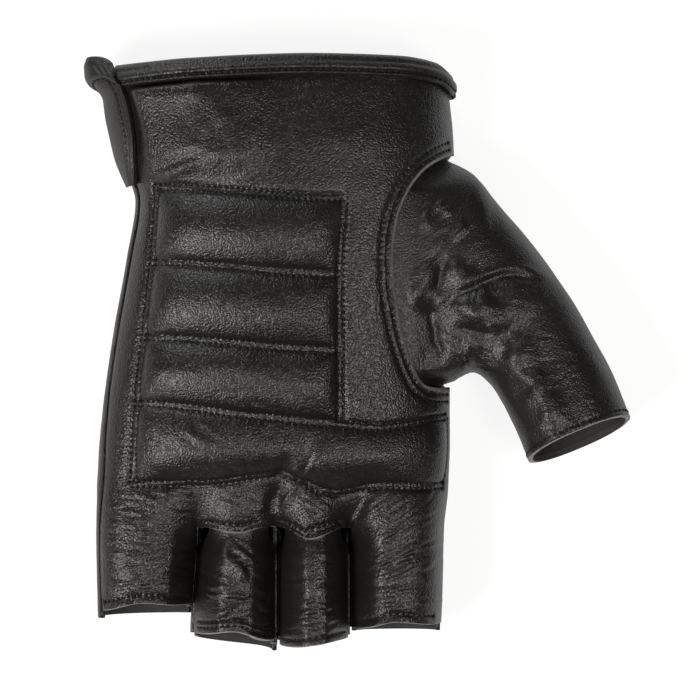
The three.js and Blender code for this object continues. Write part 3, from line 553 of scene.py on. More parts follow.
def creased(x, y, creases):
    """The relief of creases at places seen from above. Their lines wander and vary in strength."""
    relief = np.zeros(x.shape)
    strength = 1 + 0.35 * waves(x, y, 3.7, 20)
    x, y = (x + 0.3 * waves(x, y, 3.1, 2) + 0.08 * waves(x, y, 1.3, 6),
            y + 0.3 * waves(x, y, 3.3, 13) + 0.08 * waves(x, y, 1.2, 15))
    for width, depth, rise, side, line, *more in creases:
        more = dict(wide=(1, 1), taper=0.35, sharp=False) | dict(*more)
        line = np.asarray(line, float)
        reach = 4 * width * max(more["wide"]) + 0.5
        low, high = line.min(0) - reach, line.max(0) + reach
        near = (x > low[0]) & (x < high[0]) & (y > low[1]) & (y < high[1])
        if not near.any():
            continue
        if len(line) > 2:
            line = smooth_line(line)
        away, along, total = beside_line(x[near], y[near], line)
        fade = ease(0, more["taper"] * total, along) * ease(total, (1 - more["taper"]) * total, along)
        nearer_end = np.where(along < total / 2, *line[[0, -1]][:, :, None])
        from_end = np.hypot(*(np.stack([x[near], y[near]]) - nearer_end))
        fade = np.where((along <= 0) | (along >= total), fade * bell(from_end, width), fade)
        half = width * np.where(away > 0, *more["wide"])
        drop = np.exp(-np.abs(away) / half) if more["sharp"] else bell(away, half)
        fold = rise * bell(away - side * 1.5 * width, 1.2 * width)
        relief[near] += fade * strength[near] * (fold - depth * drop)
    return relief


def bent(a, b, c, d, t):
    """A smooth curve from b to c, whose neighbours are a and d."""
    return 0.5 * (2 * b + (c - a) * t + (2 * a - 5 * b + 4 * c - d) * t ** 2
                  + (3 * b - a - 3 * c + d) * t ** 3)


def smooth_line(places):
    """A smooth line through a few places."""
    at = np.linspace(0, len(places) - 1, 20)
    padded = np.vstack([2 * places[0] - places[1], places, 2 * places[-1] - places[-2]])
    k = np.minimum(at.astype(int), len(places) - 2)
    t = (at - k)[:, None]
    return bent(*(padded[k + n] for n in range(4)), t)


FINE_CREASES = [crease for n, field in enumerate(CREASE_FIELDS)
                for crease in crease_field(20 + n, *field)]


def shoulder(away, reach):
    return 1 - (1 - np.clip(away / reach, 0, 1)) ** 2


def puffs(x, y):
    """The quilted pads and the long band."""
    from_left = x - through(PAD_LEFT, y)
    from_right = through(PAD_RIGHT, y) - x
    bounds = ["padTop", "firstQuilt", "secondQuilt", "bandTop"]
    rise = np.zeros(x.shape)
    for above, below in zip(bounds, bounds[1:]):
        inside = np.minimum(line_y(above, x) - y, y - line_y(below, x))
        rise += PAD_RISE * shoulder(from_left, 12) * shoulder(from_right, 10) * shoulder(inside, 11.5)
    in_band = np.minimum(line_y("bandTop", x) - y, y - line_y("bandBottom", x))
    rise += BAND_RISE * shoulder(from_left, 10) * shoulder(hand("radial", y) - x, 8) * shoulder(in_band, 10.5)
    return rise


# Broad swellings of the palm: x, y, half-widths and height
SWELLINGS = [
    [-48, 60, 12, 8, 0.9], [-8, 70, 22, 12, 0.8], [-73, -62, 8, 12, 0.5], [-38, -47.5, 9, 4.5, 0.8],
    [-13.5, -49, 6.5, 5.5, 0.9], [10, -47, 9, 5, 0.5], [-57, -46, 7, 5, 0.6], [-49, -30, 14, 5, 0.25],
    [2, -32, 12, 6, 0.4],
]


def palm_relief(p, y):
    x = palm_x(p, y)
    relief = puffs(x, y) + creased(x, y, PALM_CREASES) + creased(x, y, FINE_CREASES)
    for sx, sy, wide, high, rise in SWELLINGS:
        relief += rise * bell(x - sx, wide) * bell(y - sy, high)
    edge = line_y("cuff", x) - BINDING_DEPTH
    flap = through(FLAP_EDGE, y)
    high = ease(edge - 0.3, edge - 2.2, y) * np.clip((y - 53) / 24, 0, 1)
    relief += high * (2.6 * ease(-20, -38, x) + 1.2 * ease(-40, -60, x)) * ease(flap + 0.3, flap + 4.5, x)
    relief += 0.14 * waves(p, y, 9) + 0.035 * waves(p, y, 3.6, 4) + 0.02 * waves(p, y, 1.7, 14)
    for line, apart, valley in SEAMS:
        low, high = line.min(0) - 5, line.max(0) + 5
        near = (p > low[0]) & (p < high[0]) & (y > low[1]) & (y < high[1])
        if near.any():
            away, along, total = beside_line(p[near], y[near], line)
            relief[near] += stitched(away, along, total, apart, valley)
    under = ease(flap + 1.4, flap + 0.3, x) * ease(49.5, 50.7, y)
    relief = mix(relief, np.minimum(relief, 0.12), under)
    return relief - 0.4 * bell(p - side_p(y), 0.8) * ease(86, 80, y)


def side_line():
    """The little-finger side seam, as y and p."""
    y = np.arange(-82.0, 90.0, 2.0)
    return y, palm_p(around(seam_turn(y), y)[:, 0], y)


SIDE_LINE = side_line()


def side_p(y):
    return np.interp(y, *SIDE_LINE) - 0.15 * ease(-66, -74, y)


def palm_place(p, y):
    return palm_base(p, y) + palm_normal(p, y) * palm_relief(p, y)[..., None]


def palm_outline():
    """The palm's edge in its plane, anticlockwise from the cuff's little-finger end, as p, y,
    and how wide the cut edge slopes there."""
    side_y = np.linspace(SIDE_TOP, FINGERS["little"]["hem"][0], 200)
    side = np.column_stack([side_p(side_y), side_y])
    walls, hems = [], []
    for name, n, end, sign in (("little", 1, -1, -1), ("index", 0, 0, 1)):
        hem = hem_line(name)
        y = np.linspace(hem[end, 1], CUT_ENDS, 60)
        walls.append(in_plane(np.column_stack([finger(name, y)[n] + sign * FINGER_INSET, y])))
        hems.append(in_plane(hem))
    little_wall, index_wall = walls
    little_hem, index_hem = hems
    little_hem = little_hem[(little_hem[:, 0] > side[-1, 0]) & (little_hem[:, 0] < little_wall[0, 0])]
    index_hem = index_hem[index_hem[:, 0] > index_wall[0, 0]]
    cut_from, cut_to = finger("little", CUT_ENDS)[1] - 0.1, finger("index", CUT_ENDS)[0] + 0.1
    cut = in_plane(line_between("cutEdge", cut_from, cut_to))
    cut = cut[(cut[:, 0] > little_wall[-1, 0]) & (cut[:, 0] < index_wall[-1, 0])]
    hole = hole_curve(np.linspace(1, 0, 160))
    hole = in_plane(hole[hole[:, 0] < hand("radial", hole[:, 1]) - 0.05])
    top_x = np.linspace(hand("radial", 82.0), around(seam_turn(SIDE_TOP), SIDE_TOP)[0], 120)
    top = in_plane(np.column_stack([top_x, line_y("cuff", top_x) - EDGE_BELOW_TOP]))
    top = top[top[:, 0] > side[0, 0] + 0.1]
    low_edge = np.array([[PALM_WIDTH, index_hem[-1, 1]], [PALM_WIDTH, hole[0, 1] - 0.3]])
    high_edge = np.array([[PALM_WIDTH, hole[-1, 1] + 0.3], [PALM_WIDTH, top[0, 1]]])
    stretches = [
        (side, 0.0), (little_hem, 0.2), (little_wall, 0.0), (cut, 0.5), (index_wall[::-1], 0.0),
        (index_hem, 0.2), (low_edge, 0.0), (hole, 1.25), (high_edge, 0.0), (top, 0.0),
    ]
    parts = []
    for n, (line, slope) in enumerate(stretches):
        following = stretches[(n + 1) % len(stretches)][0]
        fine = resample(np.vstack([line, following[:1]]), 0.4)[:-1]
        parts.append(np.column_stack([fine, np.full(len(fine), slope)]))
    outline = np.vstack(parts)
    slope = outline[:, 2]
    for _ in range(6):
        slope = (np.roll(slope, 1) + 2 * slope + np.roll(slope, -1)) / 4
    return outline[:, :2], np.where(outline[:, 2] > 0, slope, 0)


# Meshes
def inside_polygon(px, py, polygon):
    inside = np.zeros(px.shape, bool)
    for (ax, ay), (bx, by) in zip(polygon, np.roll(polygon, -1, axis=0)):
        if ay == by:
            continue
        crosses = (ay > py) != (by > py)
        inside ^= crosses & (px < (bx - ax) * (py - ay) / (by - ay) + ax)
    return inside


def thinned(points, least, kept):
    """The points that are no closer than least to an earlier one, by a grid of cells."""
    cells = {}
    chosen = []
    for n, (x, y) in enumerate([*kept, *points]):
        i, j = int(x // least), int(y // least)
        if n >= len(kept):
            if any((ox - x) ** 2 + (oy - y) ** 2 < least * least
                   for m in (i - 1, i, i + 1) for k in (j - 1, j, j + 1) for ox, oy in cells.get((m, k), ())):
                continue
            chosen.append((x, y))
        cells.setdefault((i, j), []).append((x, y))
    return np.array(chosen)


def within(points, outline):
    """The points that lie inside an outline."""
    return points[inside_polygon(points[:, 0], points[:, 1], outline)]


def hexagons(low, high, step):
    x = np.arange(low[0], high[0], step)
    y = np.arange(low[1], high[1], step * 0.866)
    grid_x, grid_y = np.meshgrid(x, y)
    grid_x[1::2] += step / 2
    return np.column_stack([grid_x.ravel(), grid_y.ravel()])


def triangulated(outline, points):
    """Triangles that fill an outline through points inside it. The outline's places come first."""
    count = len(outline)
    everything = [Vector(place) for place in [*outline, *points]]
    edges = [(k, (k + 1) % count) for k in range(count)]
    places, _, faces, origins, _, _ = delaunay_2d_cdt(everything, edges, [], 0, 1e-6, True)
    places = np.array([tuple(place) for place in places])
    order = {}
    for n, sources in enumerate(origins):
        for source in sources:
            order[source] = n
    rim = [order[k] for k in range(count)]
    faces = np.array([face for face in faces if len(face) == 3])
    centres = places[faces].mean(axis=1)
    faces = faces[inside_polygon(centres[:, 0], centres[:, 1], places[rim])]
    a, b, c = (places[faces[:, k]] for k in range(3))
    area = (b[:, 0] - a[:, 0]) * (c[:, 1] - a[:, 1]) - (b[:, 1] - a[:, 1]) * (c[:, 0] - a[:, 0])
    faces[area < 0] = faces[area < 0][:, ::-1]
    return places, faces, rim


def inward_of(outline):
    """The direction from each place of an anticlockwise outline into it."""
    along = unit(np.roll(outline, -1, axis=0) - np.roll(outline, 1, axis=0))
    inward = np.column_stack([-along[:, 1], along[:, 0]])
    for _ in range(3):
        inward = unit(np.roll(inward, 1, axis=0) + 2 * inward + np.roll(inward, -1, axis=0))
    return inward


def make_mesh(name, places, faces, slots, materials, sharp=()):
    """A Blender object from places in millimetres. slots gives each face's material, and sharp
    lists the edges at which the shading breaks."""
    mesh = bpy.data.meshes.new(name)
    mesh.from_pydata((places / 1000).tolist(), [], faces)
    for material in materials:
        mesh.materials.append(material)
    mesh.polygons.foreach_set("material_index", np.array(slots, np.int32))
    mesh.polygons.foreach_set("use_smooth", np.ones(len(mesh.polygons), bool))
    if sharp:
        rims = set(map(tuple, sharp))
        attribute = mesh.attributes.new("sharp_edge", "BOOLEAN", "EDGE")
        ends = np.zeros(len(mesh.edges) * 2, np.int32)
        mesh.edges.foreach_get("vertices", ends)
        flags = [(a, b) in rims or (b, a) in rims for a, b in ends.reshape(-1, 2).tolist()]
        attribute.data.foreach_set("value", flags)
    mesh.validate()
    mesh.update()
    piece = bpy.data.objects.new(name, mesh)
    bpy.context.scene.collection.objects.link(piece)
    return piece


SKIN, CUT, INSIDE = 0, 1, 2       # slots of a leather's materials


def palm_points(rim):
    """Places in the palm's plane, closest beside the seams and where the leather creases."""
    points = []
    for line, apart, _ in SEAMS:
        rows = (0.4, 0.9, 1.5)
        if apart:
            rows = (0.45, 0.9, 1.25, 1.65, 2.2) if apart > 1 else (0.45, 0.9, 1.35, 1.9)
        line = resample(line, 0.45)
        for away in [0, *(sign * row for row in rows for sign in (1, -1))]:
            points.extend(shifted(line, away))
    low, high = rim.min(0), rim.max(0)
    fine = hexagons(low, high, 0.62)
    x = palm_x(*fine.T)
    points.extend(fine[(fine[:, 1] < -38) | ((x > -34) & (x < 6) & (fine[:, 1] < -18))])
    points.extend(hexagons(low, high, 0.95))
    return within(thinned(points, 0.4, rim), rim)


def palm_piece(materials):
    outline, slope = palm_outline()
    inward = inward_of(outline)
    rim = outline + inward * slope[:, None]
    flat, faces, rim_order = triangulated(rim, palm_points(rim))
    outer = palm_place(*flat.T)
    coarse = thinned(hexagons(rim.min(0), rim.max(0), 2.4), 1.2, outline)
    flat, inner_faces, inner_order = triangulated(outline, within(coarse, outline))
    inner = palm_base(*flat.T) - palm_normal(*flat.T) * LEATHER

    # the walls between the two skins, which bulge a little
    count = len(outline)
    bulge = unit(palm_base(*outline.T) - palm_base(*(outline + inward).T))
    places = [outer, inner]
    rings = [np.array(rim_order)]
    start = len(outer) + len(inner)
    for level in (0.3, 0.7):
        swell = 0.12 * math.sin(math.pi * level)
        places.append(mix(outer[rim_order], inner[inner_order], level) + bulge * swell)
        rings.append(np.arange(start, start + count))
        start += count
    rings.append(np.array(inner_order) + len(outer))
    walls = [np.column_stack([above, below, np.roll(below, -1), np.roll(above, -1)])
             for above, below in zip(rings, rings[1:])]
    everything = [*faces.tolist(), *(inner_faces[:, ::-1] + len(outer)).tolist(), *np.vstack(walls).tolist()]
    slots = [SKIN] * len(faces) + [INSIDE] * len(inner_faces)
    slots += [*np.where(slope > 0.02, CUT, SKIN)] * len(walls)
    sharp = [*zip(rings[0].tolist(), np.roll(rings[0], -1).tolist())]
    return make_mesh("palm_leather", np.vstack(places), everything, slots, materials, sharp)


def quad_grid(rows, columns, ring):
    """The faces of a grid of places. ring joins its last column to the first."""
    ids = np.arange(rows * columns).reshape(rows, columns)
    if ring:
        ids = np.column_stack([ids, ids[:, 0]])
    return np.stack([ids[:-1, :-1], ids[1:, :-1], ids[1:, 1:], ids[:-1, 1:]], -1)


def shell(name, outer, inner, materials, keep=None, ring=False, hem=False):
    """A closed leather piece from two skins of places, outer[i][j] and inner[i][j]. keep[i][j]
    says which faces are made, ring joins the last column to the first, and hem says whether the
    last row is cut leather that shows."""
    rows, columns = outer.shape[:2]
    quads = quad_grid(rows, columns, ring)
    quads = quads.reshape(-1, 4) if keep is None else quads[keep]
    total = rows * columns
    outer, inner = outer.reshape(-1, 3), inner.reshape(-1, 3)
    directed = {edge: quad for quad in quads.tolist() for edge in zip(quad, quad[1:] + quad[:1])}
    rim = [(p, q) for (p, q) in directed if (q, p) not in directed]
    push = {}
    for p, q in rim:
        corners = outer[directed[(p, q)]]
        normal = np.cross(corners[2] - corners[0], corners[3] - corners[1])
        side = np.cross(outer[q] - outer[p], normal)
        side = side / max(np.linalg.norm(side), 1e-9)
        for place in (p, q):
            push[place] = push.get(place, 0) + side
    rim_places = list(push)
    swell = unit(np.array(list(push.values()))) * 0.1
    places = [outer, inner]
    for level in (0.25, 0.75):
        places.append(mix(outer[rim_places], inner[rim_places], level) + swell)
    order = {place: n for n, place in enumerate(rim_places, 2 * total)}
    chain = lambda place: [place, order[place], order[place] + len(order), total + place]
    faces = quads.tolist() + (quads[:, ::-1] + total).tolist()
    slots = [SKIN] * len(quads) + [INSIDE] * len(quads)
    for p, q in rim:
        left, right = chain(p), chain(q)
        shows = hem and p // columns == q // columns == rows - 1
        for k in range(3):
            faces.append([right[k], left[k], left[k + 1], right[k + 1]])
            slots.append(CUT if shows else SKIN)
    places = np.vstack(places)
    used = np.unique(faces)
    renumber = np.full(len(places), -1)
    renumber[used] = np.arange(len(used))
    return make_mesh(name, places[used], renumber[faces].tolist(), slots, materials, renumber[rim].tolist())


# Fronts of the ring and middle fingers
FINGER_CREASES = {
    "ring": [
        (1.5, 0.7, 0.9, -1, [[-41.5, -57.5], [-36.5, -61.5], [-32.5, -66.0], [-31.0, -71.0]]),
        (1.0, 0.35, 0.4, -1, [[-38.5, -56.5], [-33.5, -60.0], [-28.5, -64.5]]),
        (0.9, 0.3, 0.4, 1, [[-43, -73.5], [-37, -75.5], [-29.5, -74.8]]),
        (0.9, 0.28, 0.35, 1, [[-43, -80], [-36, -80.8], [-28.5, -79.6]]),
        (0.9, 0.4, 0.5, 1, [[-31, -68.5], [-27.5, -69.6], [-25.6, -69.0]]),
        (0.9, 0.4, 0.5, 1, [[-31, -73.5], [-27.8, -74.8], [-25.6, -74.2]]),
        (0.8, 0.35, 0.45, 1, [[-30, -78.0], [-27.4, -79.2], [-25.6, -78.8]]),
    ],
    "middle": [
        (2.0, 0.25, 0.4, 1, [[-19, -60], [-17.5, -70], [-18, -82]]),
        (0.9, 0.22, 0.3, 1, [[-14, -77], [-9, -78.5], [-4.5, -77]]),
        (0.9, 0.2, 0.25, 1, [[-20, -83.5], [-13, -84.8], [-6, -83.2]]),
    ],
}
FINGER_FIELDS = {
    "ring": ((-46, -27), (-85, -60), 24, (-12, 8), (4, 11), (0.4, 0.8), (0.12, 0.3)),
    "middle": ((-21, -5), (-86, -59), 26, (-10, 14), (4, 10), (0.4, 0.8), (0.09, 0.22)),
}
ROOT_INSET = {"ring": (2.8, 1.0), "middle": (1.0, 1.4)}    # how much narrower a front is at its root
HEM_ROWS = {"ring": (2.0, 3.8), "middle": (2.4,)}          # from a front's hem up to its stitches


def front_normal(x, y):
    surface = lambda u, v: np.stack([u, v, front_height(u, v)], -1)
    left, right = sides(y)
    return outward(surface, np.clip(x, left + 0.1, right - 0.1), y, 0.04, 0.04)


def front_place(x, y, away):
    return np.stack([x, y, front_height(x, y)], -1) + front_normal(x, y) * np.asarray(away)[..., None]


def finger_front_places(name, hem_up=0.0):
    """x and y over a finger's front, rows from under the palm to hem_up above the hem."""
    rows, columns = 96, 76
    down = np.linspace(0, 1, rows)[:, None]
    across = ((1 - np.cos(np.pi * np.linspace(0, 1, columns))) / 2)[None, :]
    y = np.full((rows, columns), HEM_Y)
    for _ in range(4):
        left, right, _, _ = finger(name, y)
        narrow = ease(CROTCH - 6, CROTCH + 2, y)
        x = mix(left + mix(FINGER_INSET, ROOT_INSET[name][0], narrow),
                right - mix(FINGER_INSET, ROOT_INSET[name][1], narrow), across)
        y = mix(line_y("cutEdge", x) + LAP, hem_y(name, (x - left) / (right - left)) + hem_up, down)
    return x, y


def finger_relief(name, x, y):
    fine = crease_field(50 + NAMES.index(name), *FINGER_FIELDS[name])
    left, right, _, _ = finger(name, y)
    side = ease(0, 2.5, x - left) * ease(0, 2.5, right - x)
    relief = creased(x, y, FINGER_CREASES[name]) + creased(x, y, fine)
    relief += 0.14 * waves(x, y, 6, 3) + 0.05 * waves(x, y, 2.6, 9) + 0.02 * waves(x, y, 1.4, 19)
    for above in HEM_ROWS[name]:
        away = y - hem_y(name, (x - left) / (right - left)) - above
        relief -= 0.28 * bell(away, 0.55) - 0.1 * bell(away + 1.2, 0.8)
    return relief * side * ease(CROTCH + 1, CROTCH - 3, y)


def front_depth(y):
    """How far a finger's front lies below the hand's surface: more where it is under the palm."""
    return mix(0.4, LEATHER + 2 * GAP, ease(CROTCH - 9, CROTCH - 1, y))


def finger_piece(name, materials):
    x, y = finger_front_places(name, 0.4)
    outer = front_place(x, y, finger_relief(name, x, y) - front_depth(y))
    x, y = finger_front_places(name)
    inner = front_place(x, y, -front_depth(y) - LEATHER)
    return shell(f"{name}_leather", outer, inner, materials, hem=True)


# Strips between the fingers: down one finger's wall, round the web and up the other's
def strip_piece(first, second, materials):
    steps, levels = 60, 24
    top, bottom = 11.5, 2.1
    outer, inner = [], []
    for level in np.linspace(0, 1, levels):
        outer_row, inner_row = [], []
        for name, n, ts in ((first, 1, np.linspace(0, 1, steps)), (second, 0, np.linspace(1, 0, steps))):
            if name == second:
                x = (finger(first, CROTCH)[1] + finger(second, CROTCH)[0]) / 2
                z = mix(top, bottom, level)
                outer_row.append((x, CROTCH + WEB_BACK, z))
                inner_row.append((x, CROTCH + WEB_BACK + LEATHER, z))
            root = CROTCH + 2
            hem = FINGERS[name]["hem"][2 if n else 0]
            back = FINGERS[name]["back"][n]
            away = -1 if n else 1
            for t in ts:
                guess = mix(hem, root, t)
                lowest = 5 + finger(name, guess)[3]
                upper = mix(top, 12.9, ease(CROTCH - 4, CROTCH - 9, guess))
                z = mix(upper, mix(bottom, lowest, ease(CROTCH + 1, CROTCH - 9, guess)), level)
                y = mix(mix(back, hem, z / 20) + 0.7, root, t)
                x = finger(name, y)[n]
                sunk = -0.7 * away * math.sin(math.pi * level) * ease(1, 0.85, t)
                outer_row.append((x + away * sunk, y, z))
                inner_row.append((x + away * (LEATHER + sunk), y + LEATHER / 2 * ease(0.9, 1, t), z))
        outer.append(outer_row)
        inner.append(inner_row)
    return shell(f"{first}_{second}_strip", np.array(outer, float), np.array(inner, float), materials)


# The thumb stall
def thumb_ring(row, u):
    outer_x, outer_y, inner_x, inner_y, middle, depth, slant = row
    fuller = lambda value: np.sign(value) * np.abs(value) ** ROUNDNESS
    across, up = -fuller(np.cos(2 * np.pi * u)), fuller(np.sin(2 * np.pi * u))
    half_x, half_y = (outer_x - inner_x) / 2, (outer_y - inner_y) / 2
    span = math.hypot(half_x, half_y)
    return np.stack([inner_x + half_x * (1 + across) - half_y / span * slant * up,
                     inner_y + half_y * (1 + across) + half_x / span * slant * up,
                     middle + depth * up], -1)


def thumb_root(u, under):
    """A ring inside the hand: in under the thumb hole's edge and over the back panel's edge."""
    top = np.array([mix(28, 26, under), mix(59, 60.5, under), WIDEST])
    bottom = np.array([mix(27, 24.5, under), mix(-10, -11, under), WIDEST])
    reach = mix(-1.5, LAP, under)
    t = 1 - u / 0.5
    at = mix(0.08, 0.92, np.clip(t, 0, 1))
    place = hole_curve(at)
    along = unit(hole_curve(at + 1e-3) - hole_curve(at - 1e-3))
    x = np.minimum(top[0], place[:, 0] + reach * along[:, 1])
    y = place[:, 1] - reach * along[:, 0]
    on_hand = front_place(x, y, np.full(x.shape, -(LEATHER + 2 * GAP)))
    ends = np.minimum(1, np.sin(np.pi * np.clip(t, 0, 1)) * 2.2)[:, None]
    over = mix(np.where((t > 0.5)[:, None], bottom, top), on_hand, ends)
    t = (u - 0.5) / 0.5
    down = np.minimum(1, np.sin(np.pi * np.clip(t, 0, 1)) * 1.6)
    behind = np.stack([mix(top[0] - 1, mix(22, 17, under), down), mix(top[1], bottom[1], t),
                       mix(WIDEST, LEATHER + 5 * GAP, down)], -1)
    return np.where((u < 0.5)[:, None], over, behind)


def thumb_grid(u, v):
    """Places on the thumb stall for columns u round it and rows v from inside the hand to the hem."""
    rings = [thumb_root(u, 1), thumb_root(u, 0)] + [thumb_ring(row, u) for row in THUMB]
    rings = np.array([rings[0]] + rings + [rings[-1]])
    count = len(THUMB) + 1
    at = np.clip(v * count, 0, count - 1e-6)
    k = np.floor(at).astype(int)
    t = (at - k)[:, None, None]
    return bent(*(rings[k + n] for n in range(4)), t)


THUMB_CREASES = [
    (1.1, 1.5, 0.45, 1, [[24.5, 10.5], [26.2, 14.2], [30.3, 17.0], [36, 19.8], [42, 22.4], [47, 23.4],
     [53, 22.6], [59, 20.2]], dict(wide=(1.0, 1.8))),
    (0.45, 0.27, 0.17, 1, [[26, 16.6], [34, 19.8], [41, 23.2], [46, 25.2], [52, 24.6], [57, 22.4]]),
    (0.4, 0.18, 0.11, 1, [[28, 18.6], [35, 21.4], [41, 24.6]]),
    (1.4, 1.1, 0.0, -1, [[28.0, 7.6], [32, 6.8], [37, 6.2], [42, 5.6],
     [45.6, 4.6]], dict(wide=(1.0, 2.2), taper=0.4)),
    (1.3, 3.5, 0.0, -1, [[22.4, 17.5], [22.0, 12.5], [22.6, 8.5], [23.8, 4], [25.4, -1],
     [26.6, -6]], dict(wide=(2.1, 2.7), taper=0.3, sharp=True)),
    (1.2, 1.4, 0.0, -1, [[27.2, 32], [25.9, 26], [24.7, 20],
     [23.0, 13]], dict(wide=(1.1, 1.8), taper=0.4, sharp=True)),
    (0.7, 0.42, 0.33, 1, [[27.6, 33.4], [24.6, 29.8], [19.6, 25.6], [15.6, 24.4]]),
    (0.7, 0.36, 0.28, -1, [[37.0, 38.8], [32.2, 34.6], [27.6, 31.2]]),
    (0.7, 0.3, 0.25, -1, [[35.0, 41.2], [30.6, 37.4], [25.4, 35.4], [20, 33.6]]),
    (0.7, 0.36, 0.33, -1, [[29.6, 45.6], [27.0, 44.8], [24.6, 42.0], [23.0, 39.0]]),
    (0.6, 0.3, 0.28, 1, [[29.6, 41.6], [27.4, 39.6], [24.4, 38.8]]),
    (0.8, 0.3, 0.28, 1, [[21.6, 45], [19.6, 41.6], [18.6, 37.0]]),
    (0.45, 0.36, 0.28, 1, [[24.8, 12.6], [26.4, 11.4], [27.4, 9.6]], dict(taper=0.2)),
    (0.6, 0.54, 0.33, 1, [[25.8, 5.4], [29.6, 3.6], [33.8, 1.6]], dict(taper=0.2)),
    (0.55, 0.48, 0.28, 1, [[26.4, 3.2], [29.0, 1.2], [31.8, -0.6]], dict(taper=0.2)),
    (0.5, 0.6, 0.44, 1, [[30.0, -0.6], [31.4, -2.6], [32.6, -5.0]], dict(taper=0.2)),
    (0.5, 0.54, 0.44, 1, [[31.8, -2.6], [33.2, -4.4], [34.2, -6.8]], dict(taper=0.2)),
    (0.6, 0.3, 0.22, 1, [[29.6, 4.6], [34.0, 3.6], [38.4, 2.0]]),
    (0.6, 0.27, 0.19, 1, [[34.0, 2.4], [38.0, 0.8], [41.4, -1.4]]),
    (0.6, 0.36, 0.19, -1, [[43.4, 8.4], [45.4, 5.6], [44.6, 2.8], [42.0, 1.4]]),
    (0.5, 0.18, 0.17, -1, [[30.5, 14.6], [36.0, 16.2], [42.0, 16.4]]),
    (0.45, 0.24, 0.17, -1, [[36, 11.0], [40, 12.4], [44, 10.6], [47, 10.4]]),
    (0.45, 0.24, 0.17, -1, [[38, 8.6], [42, 9.6], [45.5, 8.0]]),
]
THUMB_RIDGES = [
    (4.4, -2.4, 0, 1, [[27.0, 12.6], [33.0, 14.0], [38.0, 12.0], [42.0, 9.0], [46.0, 5.8]], dict(taper=0.3)),
    (6.0, -0.9, 0, 1, [[42.0, 18.0], [48.0, 16.0], [54.0, 10.0]], dict(taper=0.4)),
    (4.8, -2.0, 0, 1, [[44.0, 4.0], [48.4, -1.0], [52.0, -7.0], [56.0, -14], [59.5, -22],
     [62, -30]], dict(taper=0.2)),
    (2.8, -1.5, 0, 1, [[23.6, 28.4], [20.8, 22.4], [18.7, 17.0], [17.2, 10.6]]),
    (2.6, -1.2, 0, 1, [[29.0, 29.0], [30.0, 25.0], [33.4, 22.4], [38.0, 23.6]], dict(taper=0.3)),
    (1.3, -0.9, 0, 1, [[24.6, 42.8], [26.6, 43.2], [28.0, 41.0]], dict(taper=0.3)),
    (1.3, -0.8, 0, 1, [[33.8, 38.4], [31.0, 37.0], [28.4, 34.6]], dict(taper=0.3)),
    (1.5, -0.7, 0, 1, [[20.0, 43.4], [20.4, 40.0], [22.0, 36.0]], dict(taper=0.3)),
]
THUMB_FIELDS = [
    ((38, 58), (-2, 19), 34, (-2, -14), (4, 11), (0.35, 0.7), (0.033, 0.104)),
    ((46, 70), (-24, 2), 40, (-4, 10), (4, 12), (0.35, 0.7), (0.026, 0.078)),
    ((28, 48), (24, 42), 26, (16, 30), (4, 10), (0.35, 0.7), (0.026, 0.078)),
    ((16, 30), (8, 46), 26, (45, 25), (3, 8), (0.35, 0.6), (0.033, 0.085)),
    ((28, 42), (-6, 6), 26, (-14, -26), (3, 7), (0.35, 0.6), (0.065, 0.163)),
]


THUMB_HEM_SPAN = 118.0            # millimetres that one unit of v is worth near the hem
THUMB_HEM_ROW = 2.7               # from the hem up to its stitches


def thumb_relief(place, u, v):
    x, y = place[..., 0], place[..., 1]
    facing = np.clip(np.sin(2 * np.pi * u), 0, 1) ** 0.75 * ease(0.125, 0.165, v)
    relief = creased(x, y, THUMB_CREASES)
    for n, field in enumerate(THUMB_FIELDS):
        relief += creased(x, y, crease_field(70 + n, *field))
    relief += creased(x, y, THUMB_RIDGES)
    relief *= facing
    round_way = np.abs(u * 2 - 1) * 45
    relief += 0.14 * waves(round_way, v * 90, 7, 5) + 0.05 * waves(round_way, v * 90, 2.8, 8)
    relief += 0.02 * waves(round_way, v * 90, 1.4, 18)
    above = (1 - v) * THUMB_HEM_SPAN - THUMB_HEM_ROW
    relief -= 0.3 * bell(above, 0.55) - 0.1 * bell(above + 1.2, 0.8)
    return relief


def thumb_normals(places):
    across = np.roll(places, -1, axis=1) - np.roll(places, 1, axis=1)
    along = np.gradient(places, axis=0)
    return unit(np.cross(across, -along))


def thumb_piece(materials):
    columns, rows = 196, 178
    u = np.arange(columns) / columns
    fine = np.linspace(0, 1, 400)
    spine = thumb_grid(np.array([0.05, 0.25, 0.45]), fine)
    length = np.concatenate([[0], np.cumsum(np.linalg.norm(np.diff(spine, axis=0), axis=-1).mean(axis=1))])
    v = np.interp(np.linspace(0, length[-1], rows), length, fine)
    base = thumb_grid(u, v)
    normal = thumb_normals(base)
    grid_u, grid_v = np.broadcast_arrays(u[None, :], v[:, None])
    relief = thumb_relief(base, grid_u, grid_v)
    outer = base + normal * relief[..., None]
    outer[-1] = mix(base[-1], base[-2], 0.5) + normal[-1] * relief[-1][:, None]
    inner = base + normal * (np.minimum(relief, 0) * 0.8 - LEATHER)[..., None]
    return shell("thumb_leather", outer, inner, materials, ring=True, hem=True)


# The back panel
def radial_turn(y):
    return 0.5 + RIM_TURN + WINDOW_TURN * ease(-15, -3, y) * (1 - ease(52, 64, y))


def side_wall(y, rise):
    """The back panel's wall up the little-finger side, outer and inner places."""
    left, right = sides(y)
    seam = seam_turn(y) - 1.2 * GAP / (right - left)
    place = around(seam * rise, y)
    lean = -front_normal(np.maximum(place[:, 0], left + GAP), y)
    inward = unit(mix(np.array([1.0, 0, 0]), lean, rise))
    puff = 0.35 * bell(rise - 0.82, 0.2) + 0.12 * waves(place[:, 2], y, 5, 11)
    place = place - inward * (puff * ease(80, 70, y))[:, None]
    return place, place + inward * LEATHER


